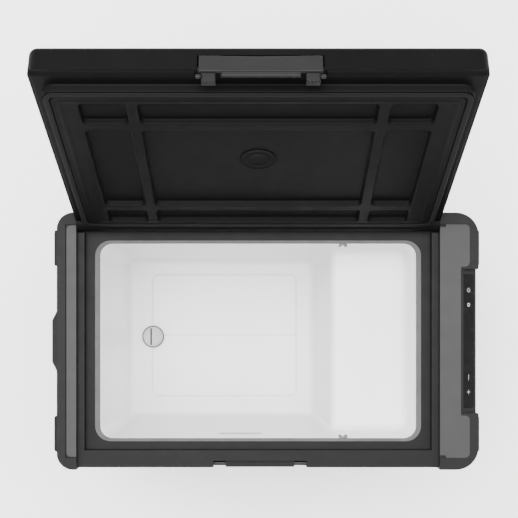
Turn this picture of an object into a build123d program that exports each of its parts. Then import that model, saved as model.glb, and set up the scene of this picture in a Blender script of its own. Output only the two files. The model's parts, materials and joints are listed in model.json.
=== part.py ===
from build123d import *
from math import atan, cos, degrees, radians, sin, tan
import os

# Portable compressor cooler, millimetres, +Z up, +Y to the back (hinge side).
# The origin is the middle of the standing plane under the feet.
# Lid pieces are drawn closed and swung open about the hinge when they are written.

os.makedirs("parts", exist_ok=True)

# ---- Driving dimensions: the whole cooler ----
body_length = 685.0  # over the bumpers
body_depth = 409.0  # over the end caps
rim_height = 400.0  # floor to the raised border of the rim
lid_rise = 38.0  # lid skirt above the rim
lid_open_angle = 113.5

# ---- Base ----
foot_height = 8.0
foot_radius = 18.0
foot_inset_x = 52.0
foot_inset_y = 42.0
pan_thickness = 3.0
wall = 3.0  # moulded case and cap walls
vent_slot = 4.0

# ---- End caps ----
left_cap_length = 31.0
left_bumper = 8.5
left_corner = 26.0
right_cap_length = 61.4
right_bumper = 6.0
right_corner = 36.0
cap_rise = 10.0  # caps above the rim
bumper_near = 121.0
bumper_far = 178.0
bumper_top_drop = 22.0
trim_thickness = 3.0
left_trim_width = 17.5
panel_shelf = 27.4  # sloping shelf for the panel, outside the trim strip
trim_shoulder = 13.4  # cap outside the strip's wide ends
right_trim_narrow = right_cap_length - panel_shelf
right_trim_wide = right_cap_length - trim_shoulder
trim_half = 186.0
strip_round = 8.0
grip_half = 50.0
grip_height = 40.0
grip_depth = 24.0
grip_drop = 25.0
grip_lip_half = 33.0

# ---- Rim frame ----
rim_step = 2.5  # rim inside the end caps, each side
case_step = 2.0  # case wall inside the rim skirt
rim_skirt = 30.0
land_drop = 13.0
side_border = 11.4
front_border = 27.3
recess_half = 74.6
recess_depth = 10.4
recess_drop = 6.0
pocket_width = 19.6
pocket_drop = 25.0

# ---- Bin ----
mouth_margin_x = 34.2  # case side to the mouth
mouth_margin_y = 45.0
mouth_corner = 20.0
bin_depth = 340.0
step_depth = 102.0
step_width = 129.0
step_lean = 18.0
step_nose = 14.0
draft = 0.0162  # wall run-in per unit of depth
liner_wall = 2.0
liner_fillet = 12.0
flange_width = 16.0
trim_x = 8.4
trim_y = 5.3
panel_rise = 1.2
bay_foam = 28.0  # foam between the liner step and the machine bay

# ---- Drain and light ----
drain_from_left = 45.5
drain_y = 3.0
drain_ring = 22.0
drain_bore = 13.0
light_length = 70.0
light_height = 15.0
light_drop = 56.0
light_from_mid = -30.0

# ---- Lid ----
lid_gap = 0.8  # lid side to end cap
lid_float = 0.5  # lid skirt above the rim border
lid_corner_front = 12.0
lid_corner_back = 8.0
lid_round = 10.0
lid_floor = 2.5
plug_drop = 11.7
pocket_depth = 8.0
gasket_width = 8.5
gasket_clear = 0.3
port_y = -9.0
hinge_y_inset = 14.0  # hinge axis in front of the rim's back face
hinge_rise = 3.6  # hinge axis above the rim
barrel_radius = 13.0
pin_radius = 3.5
running = 0.05  # radial clearance of a turning fit

# ---- Latch ----
latch_shift = 3.0  # latch centre right of the lid centre
latch_half = 76.9
leg_inner = 56.0
leg_outer = 73.5
leg_reach = 19.7
latch_pin_radius = 2.5
spring_wire = 0.55
latch_pin_rise = 4.0
latch_pin_inset = 5.0
ear_inner = 50.7
ear_outer = 54.6
cheek_inner = 79.0
cheek_wall = 4.0

# ---- Control panel ----
panel_slope = 37.0
panel_half = 111.0
panel_width = 29.5
glass_half = 107.0
glass_width = 25.0
key_y = (81.4, 58.0, -58.0, -81.4)
key_names = ("light_key", "settings_key", "minus_key", "plus_key")
key_length = 17.0
key_width = 13.0
key_travel = 0.5

# ---- Machine bay ----
bay_height = 238.0
inlet_width = 28.0
inlet_height = 20.0
dc_z = 90.0
ac_z = 126.0
compressor_radius = 54.0
compressor_height = 128.0
fan_size = 92.0
fan_depth = 25.0

# ---- Planes and edges worked out from them ----
case_left = -body_length / 2 + left_bumper + left_cap_length
case_right = body_length / 2 - right_bumper - right_cap_length
case_mid = (case_left + case_right) / 2
case_span = case_right - case_left
cap_half = body_depth / 2
rim_half = cap_half - rim_step
case_half = rim_half - case_step
cap_left = case_left - left_cap_length
cap_right = case_right + right_cap_length
cap_top = rim_height + cap_rise
pan_top = foot_height + pan_thickness
land_z = rim_height - land_drop
skirt_z = rim_height - rim_skirt
flange_top = land_z - wall
flange_z = flange_top - liner_wall
mouth_left = case_left + mouth_margin_x
mouth_right = case_right - mouth_margin_x
mouth_half = rim_half - mouth_margin_y
mouth_length = mouth_right - mouth_left
mouth_mid = (mouth_left + mouth_right) / 2
bin_floor = land_z - bin_depth
step_floor = land_z - step_depth
step_x = mouth_right - step_width
step_foot = step_x - step_lean
bay_left = step_x + liner_wall + bay_foam
bay_right = cap_right - wall
bay_half = case_half - wall
hinge_y = rim_half - hinge_y_inset
hinge_z = rim_height + hinge_rise
lid_base = rim_height + lid_float
lid_top = rim_height + lid_rise
lid_left = case_left + lid_gap
lid_right = case_right - lid_gap
lid_front = -cap_half + 0.5
lid_back = hinge_y + barrel_radius
barrel_front = hinge_y - (barrel_radius**2 - (hinge_z - lid_base) ** 2) ** 0.5
plug_z = rim_height - plug_drop
latch_x = case_mid + latch_shift
latch_y = lid_front + latch_pin_inset
latch_z = rim_height + latch_pin_rise

lid_swing = (
    Location((0, hinge_y, hinge_z))
    * Location((0, 0, 0), (-lid_open_angle, 0, 0))
    * Location((0, -hinge_y, -hinge_z))
)


def save(piece, name, place=Location()):
    """Put a finished piece at its place, label it and write its STEP file."""
    placed = piece.moved(place)
    placed.label = name
    export_step(placed, f"parts/{name}.step")


def slab(x0, x1, y0, y1, z0, z1, mode=Mode.ADD):
    """A box between two corners, for the part being built."""
    with Locations(((x0 + x1) / 2, (y0 + y1) / 2, (z0 + z1) / 2)):
        Box(x1 - x0, y1 - y0, z1 - z0, mode=mode)


def rod_x(x0, x1, y, z, radius, mode=Mode.ADD):
    """A cylinder along X, for the part being built."""
    with Locations(Location(((x0 + x1) / 2, y, z), (0, 90, 0))):
        Cylinder(radius, x1 - x0, mode=mode)


def rounded_ring(plane_z, height, mid, outer, inner, outer_r, inner_r, mode=Mode.ADD):
    """A rounded rectangular ring standing up from plane_z; outer and inner are (length, depth)."""
    with BuildSketch(Plane.XY.offset(plane_z)) as outline:
        with Locations(mid):
            RectangleRounded(*outer, outer_r)
            RectangleRounded(*inner, inner_r, mode=Mode.SUBTRACT)
    extrude(outline.sketch, amount=height, mode=mode)


def rounded_block(plane_z, height, mid, size, radius, mode=Mode.ADD):
    """A rounded rectangular block standing up from plane_z."""
    with BuildSketch(Plane.XY.offset(plane_z)) as outline:
        with Locations(mid):
            RectangleRounded(*size, radius)
    extrude(outline.sketch, amount=height, mode=mode)


# ---- Bin hollow, used for the liner's two faces, the foam and the evaporator ----


def bin_form(grow):
    """The bin hollow grown outward by grow: drafted box cut by the stepped floor's profile."""
    depth = bin_depth + grow
    run = draft * depth
    floor = bin_floor - grow
    nose = step_nose - grow
    foot = step_nose + grow
    with BuildPart() as form:
        with BuildSketch(Plane.XY.offset(floor)):
            with Locations((mouth_mid, 0)):
                RectangleRounded(
                    mouth_length - 2 * run + 2 * grow,
                    2 * (mouth_half - run + grow),
                    mouth_corner + grow - run,
                )
        extrude(amount=depth, taper=-degrees(atan(draft)))
        with BuildSketch(Plane.XZ.offset(-2 * cap_half)):
            with BuildLine():
                start = (mouth_left - 60, floor)
                foot_point = (step_foot + grow, floor)
                nose_point = (step_x + grow, step_floor - grow)
                end = (mouth_right + 60, step_floor - grow)
                FilletPolyline(start, foot_point, nose_point, end, radius=(foot, nose))
                Polyline(end, (mouth_right + 60, land_z + 40), (mouth_left - 60, land_z + 40), start)
            make_face()
        extrude(amount=4 * cap_half, mode=Mode.INTERSECT)
        low = form.faces().filter_by(lambda f: f.center().Z < step_floor + 1 and f.normal_at().Z < -0.1)
        outline = [e for e in low.edges() if not (e @ 0.5).Z > step_floor + 0.5 - grow + 1]
        rim_edges = [e for e in outline if is_side_edge(e, grow)]
        fillet(rim_edges, liner_fillet + grow)
    return form.part


def is_side_edge(edge, grow):
    """True for an edge where the stepped floor meets a side wall, not one across the floor."""
    middle = edge @ 0.5
    run = draft * (land_z - middle.Z)
    half = mouth_half - run + grow
    left = mouth_left + run - grow
    right = mouth_right - run + grow
    corner = mouth_corner + grow
    near_side = half - abs(middle.Y) < corner / 2
    near_end = min(middle.X - left, right - middle.X) < corner / 2
    return near_side or near_end


bin_hollow = bin_form(0)
bin_shell = bin_form(liner_wall)

# ---- Base pan, feet ----
foot_x = (-body_length / 2 + foot_inset_x, body_length / 2 - foot_inset_x)
foot_y = (-cap_half + foot_inset_y, cap_half - foot_inset_y)
foot_places = [(x, y) for x in foot_x for y in foot_y]
drain_x = mouth_left + draft * bin_depth + drain_from_left
bay_mid = (bay_left + bay_right) / 2

with BuildPart() as base_pan:
    with BuildSketch(Plane.XY.offset(foot_height)):
        with BuildLine():
            FilletPolyline(
                (cap_right - wall - 0.3, -case_half),
                (cap_right - wall - 0.3, case_half),
                (cap_left + wall + 0.3, case_half),
                (cap_left + wall + 0.3, -case_half),
                radius=(right_corner - wall, right_corner - wall, left_corner - wall, left_corner - wall),
                close=True,
            )
        make_face()
    extrude(amount=pan_thickness)
    with BuildSketch(Plane.XY.offset(foot_height)):
        with Locations((bay_mid, 0)):
            with GridLocations(0, 12 * vent_slot / 2, 1, 9):
                SlotOverall(110, vent_slot)
        with Locations((drain_x, drain_y)):
            Circle(drain_bore - 2)
        with Locations(*foot_places):
            Circle(2.5)
    extrude(amount=pan_thickness, mode=Mode.SUBTRACT)
save(base_pan.part, "base_pan")

with BuildPart() as rubber_feet:
    with BuildSketch(Plane.XY):
        with Locations(*foot_places):
            Circle(foot_radius)
    extrude(amount=foot_height, taper=4)
    with BuildSketch(Plane.XY):
        with Locations(*foot_places):
            Circle(7)
    extrude(amount=foot_height - 3, mode=Mode.SUBTRACT)
    with BuildSketch(Plane.XY):
        with Locations(*foot_places):
            Circle(2.5)
    extrude(amount=foot_height, mode=Mode.SUBTRACT)
save(rubber_feet.part, "rubber_feet")

with BuildPart() as foot_screws:
    with BuildSketch(Plane.XY.offset(foot_height - 6)):
        with Locations(*foot_places):
            Circle(5.5)
    extrude(amount=3)
    with BuildSketch(Plane.XY.offset(foot_height - 3)):
        with Locations(*foot_places):
            Circle(2.5)
    extrude(amount=3 + pan_thickness + 4)
save(foot_screws.part, "foot_screws")

# ---- Outer case: four walls standing on the pan, open to the machine bay at the right ----
with BuildPart() as outer_case:
    slab(case_left, case_right, -case_half, case_half, pan_top, skirt_z)
    slab(
        case_left + wall,
        case_right - wall,
        -case_half + wall,
        case_half - wall,
        pan_top,
        skirt_z,
        Mode.SUBTRACT,
    )
    slab(
        case_right - 2 * wall,
        case_right + 1,
        -bay_half + 12,
        bay_half - 12,
        pan_top + 6,
        bay_height,
        Mode.SUBTRACT,
    )
    for side in (-1, 1):
        for panel in (-1, 1):
            with Locations((case_mid + panel * case_span / 4, side * case_half, (pan_top + skirt_z) / 2)):
                Box(case_span / 2 - 50, 1.6, skirt_z - pan_top - 80, mode=Mode.SUBTRACT)
save(outer_case.part, "outer_case")

# ---- Bulkhead between the foam and the machine bay ----
with BuildPart() as bulkhead:
    slab(bay_left - 1.2, bay_left, -bay_half, bay_half, pan_top, bay_height + 1.2)
    slab(bay_left, case_right - wall, -bay_half, bay_half, bay_height, bay_height + 1.2)
    rod_x(bay_left - 3, bay_left + 1, -60, bay_height - 20, 7, Mode.SUBTRACT)
save(bulkhead.part, "bay_bulkhead")

# ---- Rim frame ----
border_left = case_left + side_border
border_right = case_right - side_border
border_front = -rim_half + front_border
pocket_mid = recess_half - pocket_width / 2
keeper_y = latch_y + 2.8
keeper_z = rim_height - 13.5
keeper_radius = 2.0
trim_corner = mouth_corner + trim_y
open_slope = tan(radians(lid_open_angle - 90))
stop_y = rim_half - 8.5

with BuildPart() as rim_frame:
    slab(case_left, case_right, -rim_half, rim_half, skirt_z, rim_height)
    slab(
        case_left + wall,
        case_right - wall,
        -rim_half + wall,
        rim_half - wall,
        skirt_z,
        flange_top,
        Mode.SUBTRACT,
    )
    slab(
        case_left + wall,
        case_right - wall,
        -rim_half + wall,
        border_front - wall,
        skirt_z,
        rim_height - wall,
        Mode.SUBTRACT,
    )
    slab(border_left, border_right, border_front, rim_half, land_z, rim_height + 1, Mode.SUBTRACT)
    slab(
        case_left - 1,
        case_right + 1,
        barrel_front - 2,
        rim_half + 1,
        land_z,
        rim_height + 1,
        Mode.SUBTRACT,
    )
    rounded_block(
        flange_top - 1,
        wall + 2,
        (mouth_mid, 0),
        (mouth_length + 2 * trim_x, 2 * (mouth_half + trim_y)),
        trim_corner,
        Mode.SUBTRACT,
    )
    # Latch recess in the front border, on its own solid block
    slab(
        latch_x - recess_half - 4,
        latch_x + recess_half + 4,
        -rim_half,
        -rim_half + recess_depth + 4,
        skirt_z,
        rim_height - recess_drop,
    )
    slab(
        latch_x - recess_half,
        latch_x + recess_half,
        -rim_half - 1,
        -rim_half + recess_depth,
        rim_height - recess_drop,
        rim_height + 1,
        Mode.SUBTRACT,
    )
    for side in (-1, 1):
        slab(
            latch_x + side * pocket_mid - pocket_width / 2,
            latch_x + side * pocket_mid + pocket_width / 2,
            -rim_half - 1,
            -rim_half + recess_depth,
            rim_height - pocket_drop,
            rim_height,
            Mode.SUBTRACT,
        )
        middle = latch_x + side * pocket_mid
        half = pocket_width / 2 + 3
        rod_x(middle - half, middle + half, keeper_y, keeper_z, keeper_radius, Mode.SUBTRACT)
    # Sloping stop that the open lid's back face rests on
    with BuildSketch(Plane.YZ.offset(case_left - 1)):
        drop = (rim_half + 2 - stop_y) * open_slope
        with BuildLine():
            Polyline(
                (stop_y, land_z + 0.01),
                (rim_half + 2, land_z - drop),
                (rim_half + 2, land_z + 5),
                (stop_y, land_z + 5),
                close=True,
            )
        make_face()
    extrude(amount=case_span + 2, mode=Mode.SUBTRACT)
save(rim_frame.part, "rim_frame")

with BuildPart() as keepers:
    for side in (-1, 1):
        middle = latch_x + side * pocket_mid
        half = pocket_width / 2 + 3
        rod_x(middle - half, middle + half, keeper_y, keeper_z, keeper_radius)
save(keepers.part, "latch_keepers")

# ---- Trim strip, liner, foam, evaporator ----
with BuildPart() as opening_trim:
    rounded_ring(
        flange_top,
        wall + 0.6,
        (mouth_mid, 0),
        (mouth_length + 2 * trim_x - 0.4, 2 * (mouth_half + trim_y) - 0.4),
        (mouth_length, 2 * mouth_half),
        trim_corner - 0.2,
        mouth_corner,
    )
    top_edges = opening_trim.faces().sort_by(Axis.Z)[-1].edges()
    fillet(top_edges, 1.0)
save(opening_trim.part, "opening_trim")

light_x = case_mid + light_from_mid
light_z = land_z - light_drop - light_height / 2
light_wall_y = -(mouth_half - draft * (land_z - light_z))
panel_left = mouth_left + 48.8
panel_right = step_foot - 33
panel_front = -mouth_half + 44
panel_back = mouth_half - 33

with BuildPart() as inner_liner:
    add(bin_shell)
    rounded_block(
        flange_z,
        liner_wall,
        (mouth_mid, 0),
        (mouth_length + 2 * flange_width, 2 * (mouth_half + flange_width)),
        mouth_corner + flange_width,
    )
    slab(mouth_left - 60, mouth_right + 60, -cap_half, cap_half, flange_top, land_z + 20, Mode.SUBTRACT)
    add(bin_hollow, mode=Mode.SUBTRACT)
    # Raised floor panel in two halves with a fine line between them
    for y0, y1 in ((panel_front, drain_y + 2), (drain_y + 3.5, panel_back)):
        rounded_block(
            bin_floor - 0.5,
            panel_rise + 0.5,
            ((panel_left + panel_right) / 2, (y0 + y1) / 2),
            (panel_right - panel_left, y1 - y0),
            8 if y1 - y0 > 20 else 2,
        )
    with Locations((drain_x, drain_y, bin_floor)):
        Cylinder(drain_ring + 3, 8, mode=Mode.SUBTRACT)
    with Locations((drain_x, drain_y, bin_floor - liner_wall / 2)):
        Cylinder(drain_ring + 3, liner_wall)
        Cylinder(drain_bore, liner_wall * 3, mode=Mode.SUBTRACT)
    slab(
        light_x - light_length / 2,
        light_x + light_length / 2,
        light_wall_y - 6,
        light_wall_y + 6,
        light_z - light_height / 2,
        light_z + light_height / 2,
        Mode.SUBTRACT,
    )
save(inner_liner.part, "inner_liner")

with BuildPart() as light_lens:
    slab(
        light_x - light_length / 2 + 0.2,
        light_x + light_length / 2 - 0.2,
        light_wall_y - liner_wall - 1,
        light_wall_y + 0.6,
        light_z - light_height / 2 + 0.2,
        light_z + light_height / 2 - 0.2,
    )
    fillet(light_lens.edges().filter_by(Axis.Y), 3)
    slab(
        light_x - light_length / 2 - 4,
        light_x + light_length / 2 + 4,
        light_wall_y - liner_wall - 2.4,
        light_wall_y - liner_wall - 0.4,
        light_z - light_height / 2 - 4,
        light_z + light_height / 2 + 4,
    )
save(light_lens.part, "light_lens")

with BuildPart() as light_board:
    board_y = light_wall_y - liner_wall - 2.4
    slab(light_x - 32, light_x + 32, board_y - 1.6, board_y, light_z - 6, light_z + 6)
    for led in range(6):
        led_x = light_x - 25 + led * 10
        slab(led_x - 1.5, led_x + 1.5, board_y - 2.6, board_y - 1.6, light_z - 1.5, light_z + 1.5)
save(light_board.part, "light_board")

evaporator_low = bin_floor + 34
evaporator_high = step_floor - 34
evaporator_skin = bin_form(liner_wall + 1.5)
with BuildPart() as evaporator:
    add(evaporator_skin)
    slab(
        mouth_left - 60,
        step_x + 40,
        -cap_half,
        cap_half,
        evaporator_low,
        evaporator_high,
        Mode.INTERSECT,
    )
    add(bin_shell, mode=Mode.SUBTRACT)
    slab(mouth_left - 30, mouth_left - 10, -cap_half, cap_half, 0, rim_height, Mode.SUBTRACT)
save(evaporator.part, "evaporator_plate")

with BuildPart() as foam:
    slab(
        case_left + wall,
        case_right - wall,
        -case_half + wall,
        case_half - wall,
        pan_top,
        flange_z,
    )
    slab(bay_left - 1.2, case_right + 1, -cap_half, cap_half, 0, bay_height + 1.2, Mode.SUBTRACT)
    slab(
        latch_x - recess_half - 5,
        latch_x + recess_half + 5,
        -cap_half,
        -rim_half + recess_depth + 5,
        skirt_z,
        rim_height,
        Mode.SUBTRACT,
    )
    add(bin_shell, mode=Mode.SUBTRACT)
    add(evaporator.part, mode=Mode.SUBTRACT)
    slab(
        light_x - light_length / 2 - 5,
        light_x + light_length / 2 + 5,
        board_y - 4,
        light_wall_y + 3,
        light_z - light_height / 2 - 5,
        light_z + light_height / 2 + 5,
        Mode.SUBTRACT,
    )
    with Locations((drain_x, drain_y, (pan_top + bin_floor) / 2)):
        Cylinder(drain_bore + 12, bin_floor - pan_top + 4, mode=Mode.SUBTRACT)
    rod_x(step_foot, bay_left + 2, -60, bay_height - 20, 7, Mode.SUBTRACT)
    for x, y in foot_places:
        with Locations((x, y, pan_top)):
            Cylinder(3.5, 20, mode=Mode.SUBTRACT)
save(foam.part, "foam_insulation")

# ---- Divider guides: two prongs at the front and two at the back of the mouth ----
guide_x = (step_x + 7.5, step_x + 16.8)
guide_half = 1.5
with BuildPart() as divider_guides:
    for side in (-1, 1):
        guide_wall = side * (mouth_half - draft * (wall + 1))
        for x in guide_x:
            with BuildSketch(Plane.YZ.offset(x - guide_half)):
                with BuildLine():
                    low = land_z - 26
                    Polyline(
                        (guide_wall, land_z - wall),
                        (guide_wall - side * 5, land_z - wall),
                        (guide_wall - side * 3.5, low),
                        (side * (mouth_half - draft * (land_z - low)), low),
                        close=True,
                    )
                make_face()
            extrude(amount=2 * guide_half)
        slab(
            guide_x[0] - guide_half,
            guide_x[1] + guide_half,
            min(guide_wall, guide_wall - side * 1.6),
            max(guide_wall, guide_wall - side * 1.6),
            land_z - 24,
            land_z - wall,
        )
    add(bin_hollow, mode=Mode.INTERSECT)
save(divider_guides.part, "divider_guides")

# ---- Drain: seat in the liner floor, tube through the foam, lift-out plug ----
seat_top = bin_floor
with BuildPart() as drain_seat:
    with Locations((drain_x, drain_y, seat_top + 0.6)):
        Cylinder(drain_ring, 1.2)
    with Locations((drain_x, drain_y, seat_top - 6)):
        Cylinder(drain_bore, 12)
    with Locations((drain_x, drain_y, seat_top - 4)):
        Cylinder(drain_bore - 2, 30, mode=Mode.SUBTRACT)
save(drain_seat.part, "drain_seat")

with BuildPart() as drain_tube:
    tube_top = bin_floor - 3 * liner_wall / 2
    with Locations((drain_x, drain_y, (tube_top + pan_top) / 2)):
        Cylinder(drain_bore + 12, tube_top - pan_top)
        Cylinder(drain_bore, tube_top - pan_top + 2, mode=Mode.SUBTRACT)
    with Locations((drain_x, drain_y, pan_top + 1)):
        Cylinder(drain_bore + 1, 2)
        Cylinder(drain_bore - 2, 2, mode=Mode.SUBTRACT)
save(drain_tube.part, "drain_tube")

plug_base = seat_top + 1.2
cap_height = 3.0
plug_stem = 14.0
with BuildPart() as drain_plug:
    with Locations((drain_x, drain_y, plug_base + cap_height / 2 + 0.05)):
        Cylinder(drain_ring - 1.5, cap_height)
    fillet(drain_plug.faces().sort_by(Axis.Z)[-1].edges(), 1.0)
    with Locations((drain_x, drain_y, plug_base + 1.2)):
        Cylinder(drain_ring - 5, 4, mode=Mode.SUBTRACT)
    with Locations((drain_x, drain_y, plug_base + 0.05 + 0.75)):
        Cylinder(drain_ring - 4, 1.5)
    slab(
        drain_x - 6,
        drain_x + 3,
        drain_y - drain_ring + 4,
        drain_y + drain_ring - 4,
        plug_base + 1,
        plug_base + cap_height + 2,
    )
    with Locations((drain_x, drain_y, plug_base - plug_stem / 2 + 0.1)):
        Cylinder(drain_bore - 2 - running, plug_stem)
    with Locations((drain_x, drain_y, plug_base - plug_stem + 4)):
        Cylinder(drain_bore - 1, 2)
        Cylinder(drain_bore - 3.4, 2, mode=Mode.SUBTRACT)
    with Locations((drain_x, drain_y, plug_base - plug_stem + 4)):
        Cylinder(drain_bore, 2, mode=Mode.SUBTRACT)
        Cylinder(drain_bore - 3.4, 2)
save(drain_plug.part, "drain_plug")

with BuildPart() as plug_seal:
    with Locations((drain_x, drain_y, plug_base - plug_stem + 4)):
        Cylinder(drain_bore - 2.3, 2)
        Cylinder(drain_bore - 3.4, 2, mode=Mode.SUBTRACT)
save(plug_seal.part, "plug_seal")

# ---- End caps: hollow covers, each open to the case, with a finger pocket under the grip ----
inner_top = cap_top - wall
case_cut = rim_height - 2.0
grip_top = rim_height - grip_drop
grip_base = grip_top - grip_height
left_bend = left_corner - wall
slope_run = cap_right - (case_right + right_trim_narrow)
slope_fall = slope_run * tan(radians(panel_slope))


def cap_plan(z, flat_x, end_x, half, corner):
    """Plan outline of an end cap at height z: square to the case, rounded at its outer corners."""
    with BuildSketch(Plane.XY.offset(z)) as plan:
        with BuildLine():
            FilletPolyline(
                (flat_x, -half),
                (end_x, -half),
                (end_x, half),
                (flat_x, half),
                radius=corner,
            )
            Line((flat_x, half), (flat_x, -half))
        make_face()
    return plan.sketch


def strip_end(side, z, height, mode):
    """One wide end of the right trim strip's outline, with rounded corners."""
    near = panel_half + 4 + wall
    rounded_block(
        z,
        height,
        (case_right + (right_trim_wide - strip_round) / 2, side * (near + trim_half) / 2),
        (right_trim_wide + strip_round, trim_half - near),
        strip_round,
        mode,
    )


def hinge_socket(side_x, depth, mode):
    """Boss or hole for the hinge pins at the front and the back of a cap."""
    for side in (-1, 1):
        y = side * hinge_y
        if mode == Mode.ADD:
            slab(
                min(side_x, side_x + depth),
                max(side_x, side_x + depth),
                y - 9,
                y + 8,
                hinge_z - 9,
                cap_top - 1,
            )
        else:
            rod_x(min(side_x, side_x + depth), max(side_x, side_x + depth), y, hinge_z, pin_radius, mode)


with BuildPart() as left_end_cap:
    extrude(cap_plan(foot_height, case_left, cap_left, cap_half, left_corner), amount=cap_top - foot_height)
    extrude(
        cap_plan(foot_height, case_left - wall, cap_left + wall, cap_half - wall, left_bend),
        amount=inner_top - foot_height,
        mode=Mode.SUBTRACT,
    )
    slab(
        case_left - wall - 1,
        case_left + 1,
        -cap_half + wall,
        cap_half - wall,
        foot_height,
        case_cut,
        Mode.SUBTRACT,
    )
    # Grip lip standing out over the finger pocket
    with BuildSketch(Plane.XY.offset(grip_top)):
        with BuildLine():
            Polyline(
                (cap_left + 1, -grip_half),
                (cap_left, -grip_half),
                (cap_left - left_bumper, -grip_lip_half),
                (cap_left - left_bumper, grip_lip_half),
                (cap_left, grip_half),
                (cap_left + 1, grip_half),
                close=True,
            )
        make_face()
    extrude(amount=cap_top - 6 - grip_top)
    slab(
        cap_left + 1,
        cap_left + grip_depth + wall,
        -grip_half - wall,
        grip_half + wall,
        grip_base - wall,
        grip_top + wall,
    )
    slab(
        cap_left - 20,
        cap_left + grip_depth,
        -grip_half,
        grip_half,
        grip_base,
        grip_top,
        Mode.SUBTRACT,
    )
    hinge_socket(case_left - 14, 14, Mode.ADD)
    slab(
        case_left - left_trim_width,
        case_left + 1,
        -trim_half,
        trim_half,
        cap_top - trim_thickness,
        cap_top + 1,
        Mode.SUBTRACT,
    )
    slab(
        case_left - left_trim_width - 2,
        case_left - wall,
        -trim_half - 2,
        trim_half + 2,
        cap_top - trim_thickness - wall,
        cap_top - trim_thickness,
    )
    hinge_socket(case_left - 10, 11, Mode.SUBTRACT)
save(left_end_cap.part, "left_end_cap")

with BuildPart() as left_trim:
    slab(
        case_left - left_trim_width,
        case_left,
        -trim_half,
        trim_half,
        cap_top - trim_thickness,
        cap_top,
    )
    outer_corners = left_trim.edges().filter_by(Axis.Z).group_by(Axis.X)[0]
    fillet(outer_corners, 9)
    outer_edge = left_trim.faces().sort_by(Axis.Z)[-1].edges().filter_by(Axis.Y).sort_by(Axis.X)[0]
    chamfer(outer_edge, 2.2)
save(left_trim.part, "left_trim_strip")


def bumper_pair(face_x, proud, name):
    """Two upright pads with rounded outer edges on an end cap's outer face."""
    out = 1 if face_x > 0 else -1
    with BuildPart() as pads:
        for side in (-1, 1):
            slab(
                min(face_x, face_x + out * proud),
                max(face_x, face_x + out * proud),
                min(side * bumper_near, side * bumper_far),
                max(side * bumper_near, side * bumper_far),
                60,
                rim_height - bumper_top_drop + 12,
            )
        far = pads.faces().filter_by(Axis.X).group_by(Axis.X)[-1 if out > 0 else 0]
        fillet(far.edges(), 3.0)
    save(pads.part, name)


bumper_pair(cap_left, left_bumper, "left_bumpers")
bumper_pair(cap_right, right_bumper, "right_bumpers")

with BuildPart() as right_cap_hollow:
    extrude(
        cap_plan(
            foot_height - 1,
            case_right + wall,
            cap_right - wall,
            cap_half - wall,
            right_corner - wall,
        ),
        amount=inner_top - foot_height + 1,
    )
    inset = wall / cos(radians(panel_slope))
    with BuildSketch(Plane.XZ.offset(-(panel_half + 4 + wall))):
        with BuildLine():
            Polyline(
                (cap_right - slope_run - 2, cap_top + 2 * tan(radians(panel_slope)) - inset),
                (cap_right + 2, cap_top - slope_fall - 2 * tan(radians(panel_slope)) - inset),
                (cap_right + 2, cap_top + 20),
                (cap_right - slope_run - 2, cap_top + 20),
                close=True,
            )
        make_face()
    extrude(amount=2 * (panel_half + 4 + wall), mode=Mode.SUBTRACT)

with BuildPart() as right_end_cap:
    extrude(
        cap_plan(foot_height, case_right, cap_right, cap_half, right_corner),
        amount=cap_top - foot_height,
    )
    with BuildSketch(Plane.XZ.offset(-(panel_half + 4))):
        with BuildLine():
            Polyline(
                (cap_right - slope_run, cap_top),
                (cap_right + 2, cap_top - slope_fall - 2 * tan(radians(panel_slope))),
                (cap_right + 2, cap_top + 2),
                (cap_right - slope_run, cap_top + 2),
                close=True,
            )
        make_face()
    extrude(amount=2 * (panel_half + 4), mode=Mode.SUBTRACT)
    add(right_cap_hollow.part, mode=Mode.SUBTRACT)
    slab(
        case_right - 1,
        case_right + wall + 1,
        -cap_half + wall,
        cap_half - wall,
        foot_height,
        case_cut,
        Mode.SUBTRACT,
    )
    # Finger pocket under the outer edge
    slab(
        cap_right - grip_depth - wall,
        cap_right - 1,
        -grip_half - wall,
        grip_half + wall,
        grip_base - wall,
        grip_top - 4,
    )
    slab(
        cap_right - grip_depth,
        cap_right + 1,
        -grip_half,
        grip_half,
        grip_base,
        grip_top - 4 - wall,
        Mode.SUBTRACT,
    )
    # Louvres beside the fan and the compressor
    for side in (-1, 1):
        for row in range(9):
            with Locations((cap_right, side * 100, 58 + row * 15)):
                Box(2 * wall + 4, 96, 5, mode=Mode.SUBTRACT)
    hinge_socket(case_right, 14, Mode.ADD)
    slab(
        case_right - 1,
        case_right + right_trim_narrow,
        -trim_half,
        trim_half,
        cap_top - trim_thickness,
        cap_top + 1,
        Mode.SUBTRACT,
    )
    for side in (-1, 1):
        strip_end(side, cap_top - trim_thickness, trim_thickness + 1, Mode.SUBTRACT)
        slab(
            case_right + wall,
            case_right + right_trim_wide + 2,
            min(side * (panel_half + 4 + wall), side * (trim_half + 2)),
            max(side * (panel_half + 4 + wall), side * (trim_half + 2)),
            cap_top - trim_thickness - wall,
            cap_top - trim_thickness,
        )
    slab(
        case_right,
        case_right + right_trim_narrow,
        -trim_half,
        trim_half,
        cap_top - trim_thickness - wall,
        cap_top - trim_thickness,
    )
    hinge_socket(case_right - 1, 11, Mode.SUBTRACT)
    # Window for the control panel and holes for the two inlets
    panel_plane = Plane(
        origin=(cap_right - slope_run / 2, 0, cap_top - slope_fall / 2),
        x_dir=(0, 1, 0),
        z_dir=(sin(radians(panel_slope)), 0, cos(radians(panel_slope))),
    )
    with BuildSketch(panel_plane.offset(-wall - 1)):
        Rectangle(2 * panel_half, panel_width)
    extrude(amount=wall + 2, mode=Mode.SUBTRACT)
    for inlet_z in (dc_z, ac_z):
        with Locations((cap_right, 0, inlet_z)):
            Box(4 * wall, inlet_width, inlet_height, mode=Mode.SUBTRACT)
save(right_end_cap.part, "right_end_cap")

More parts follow.
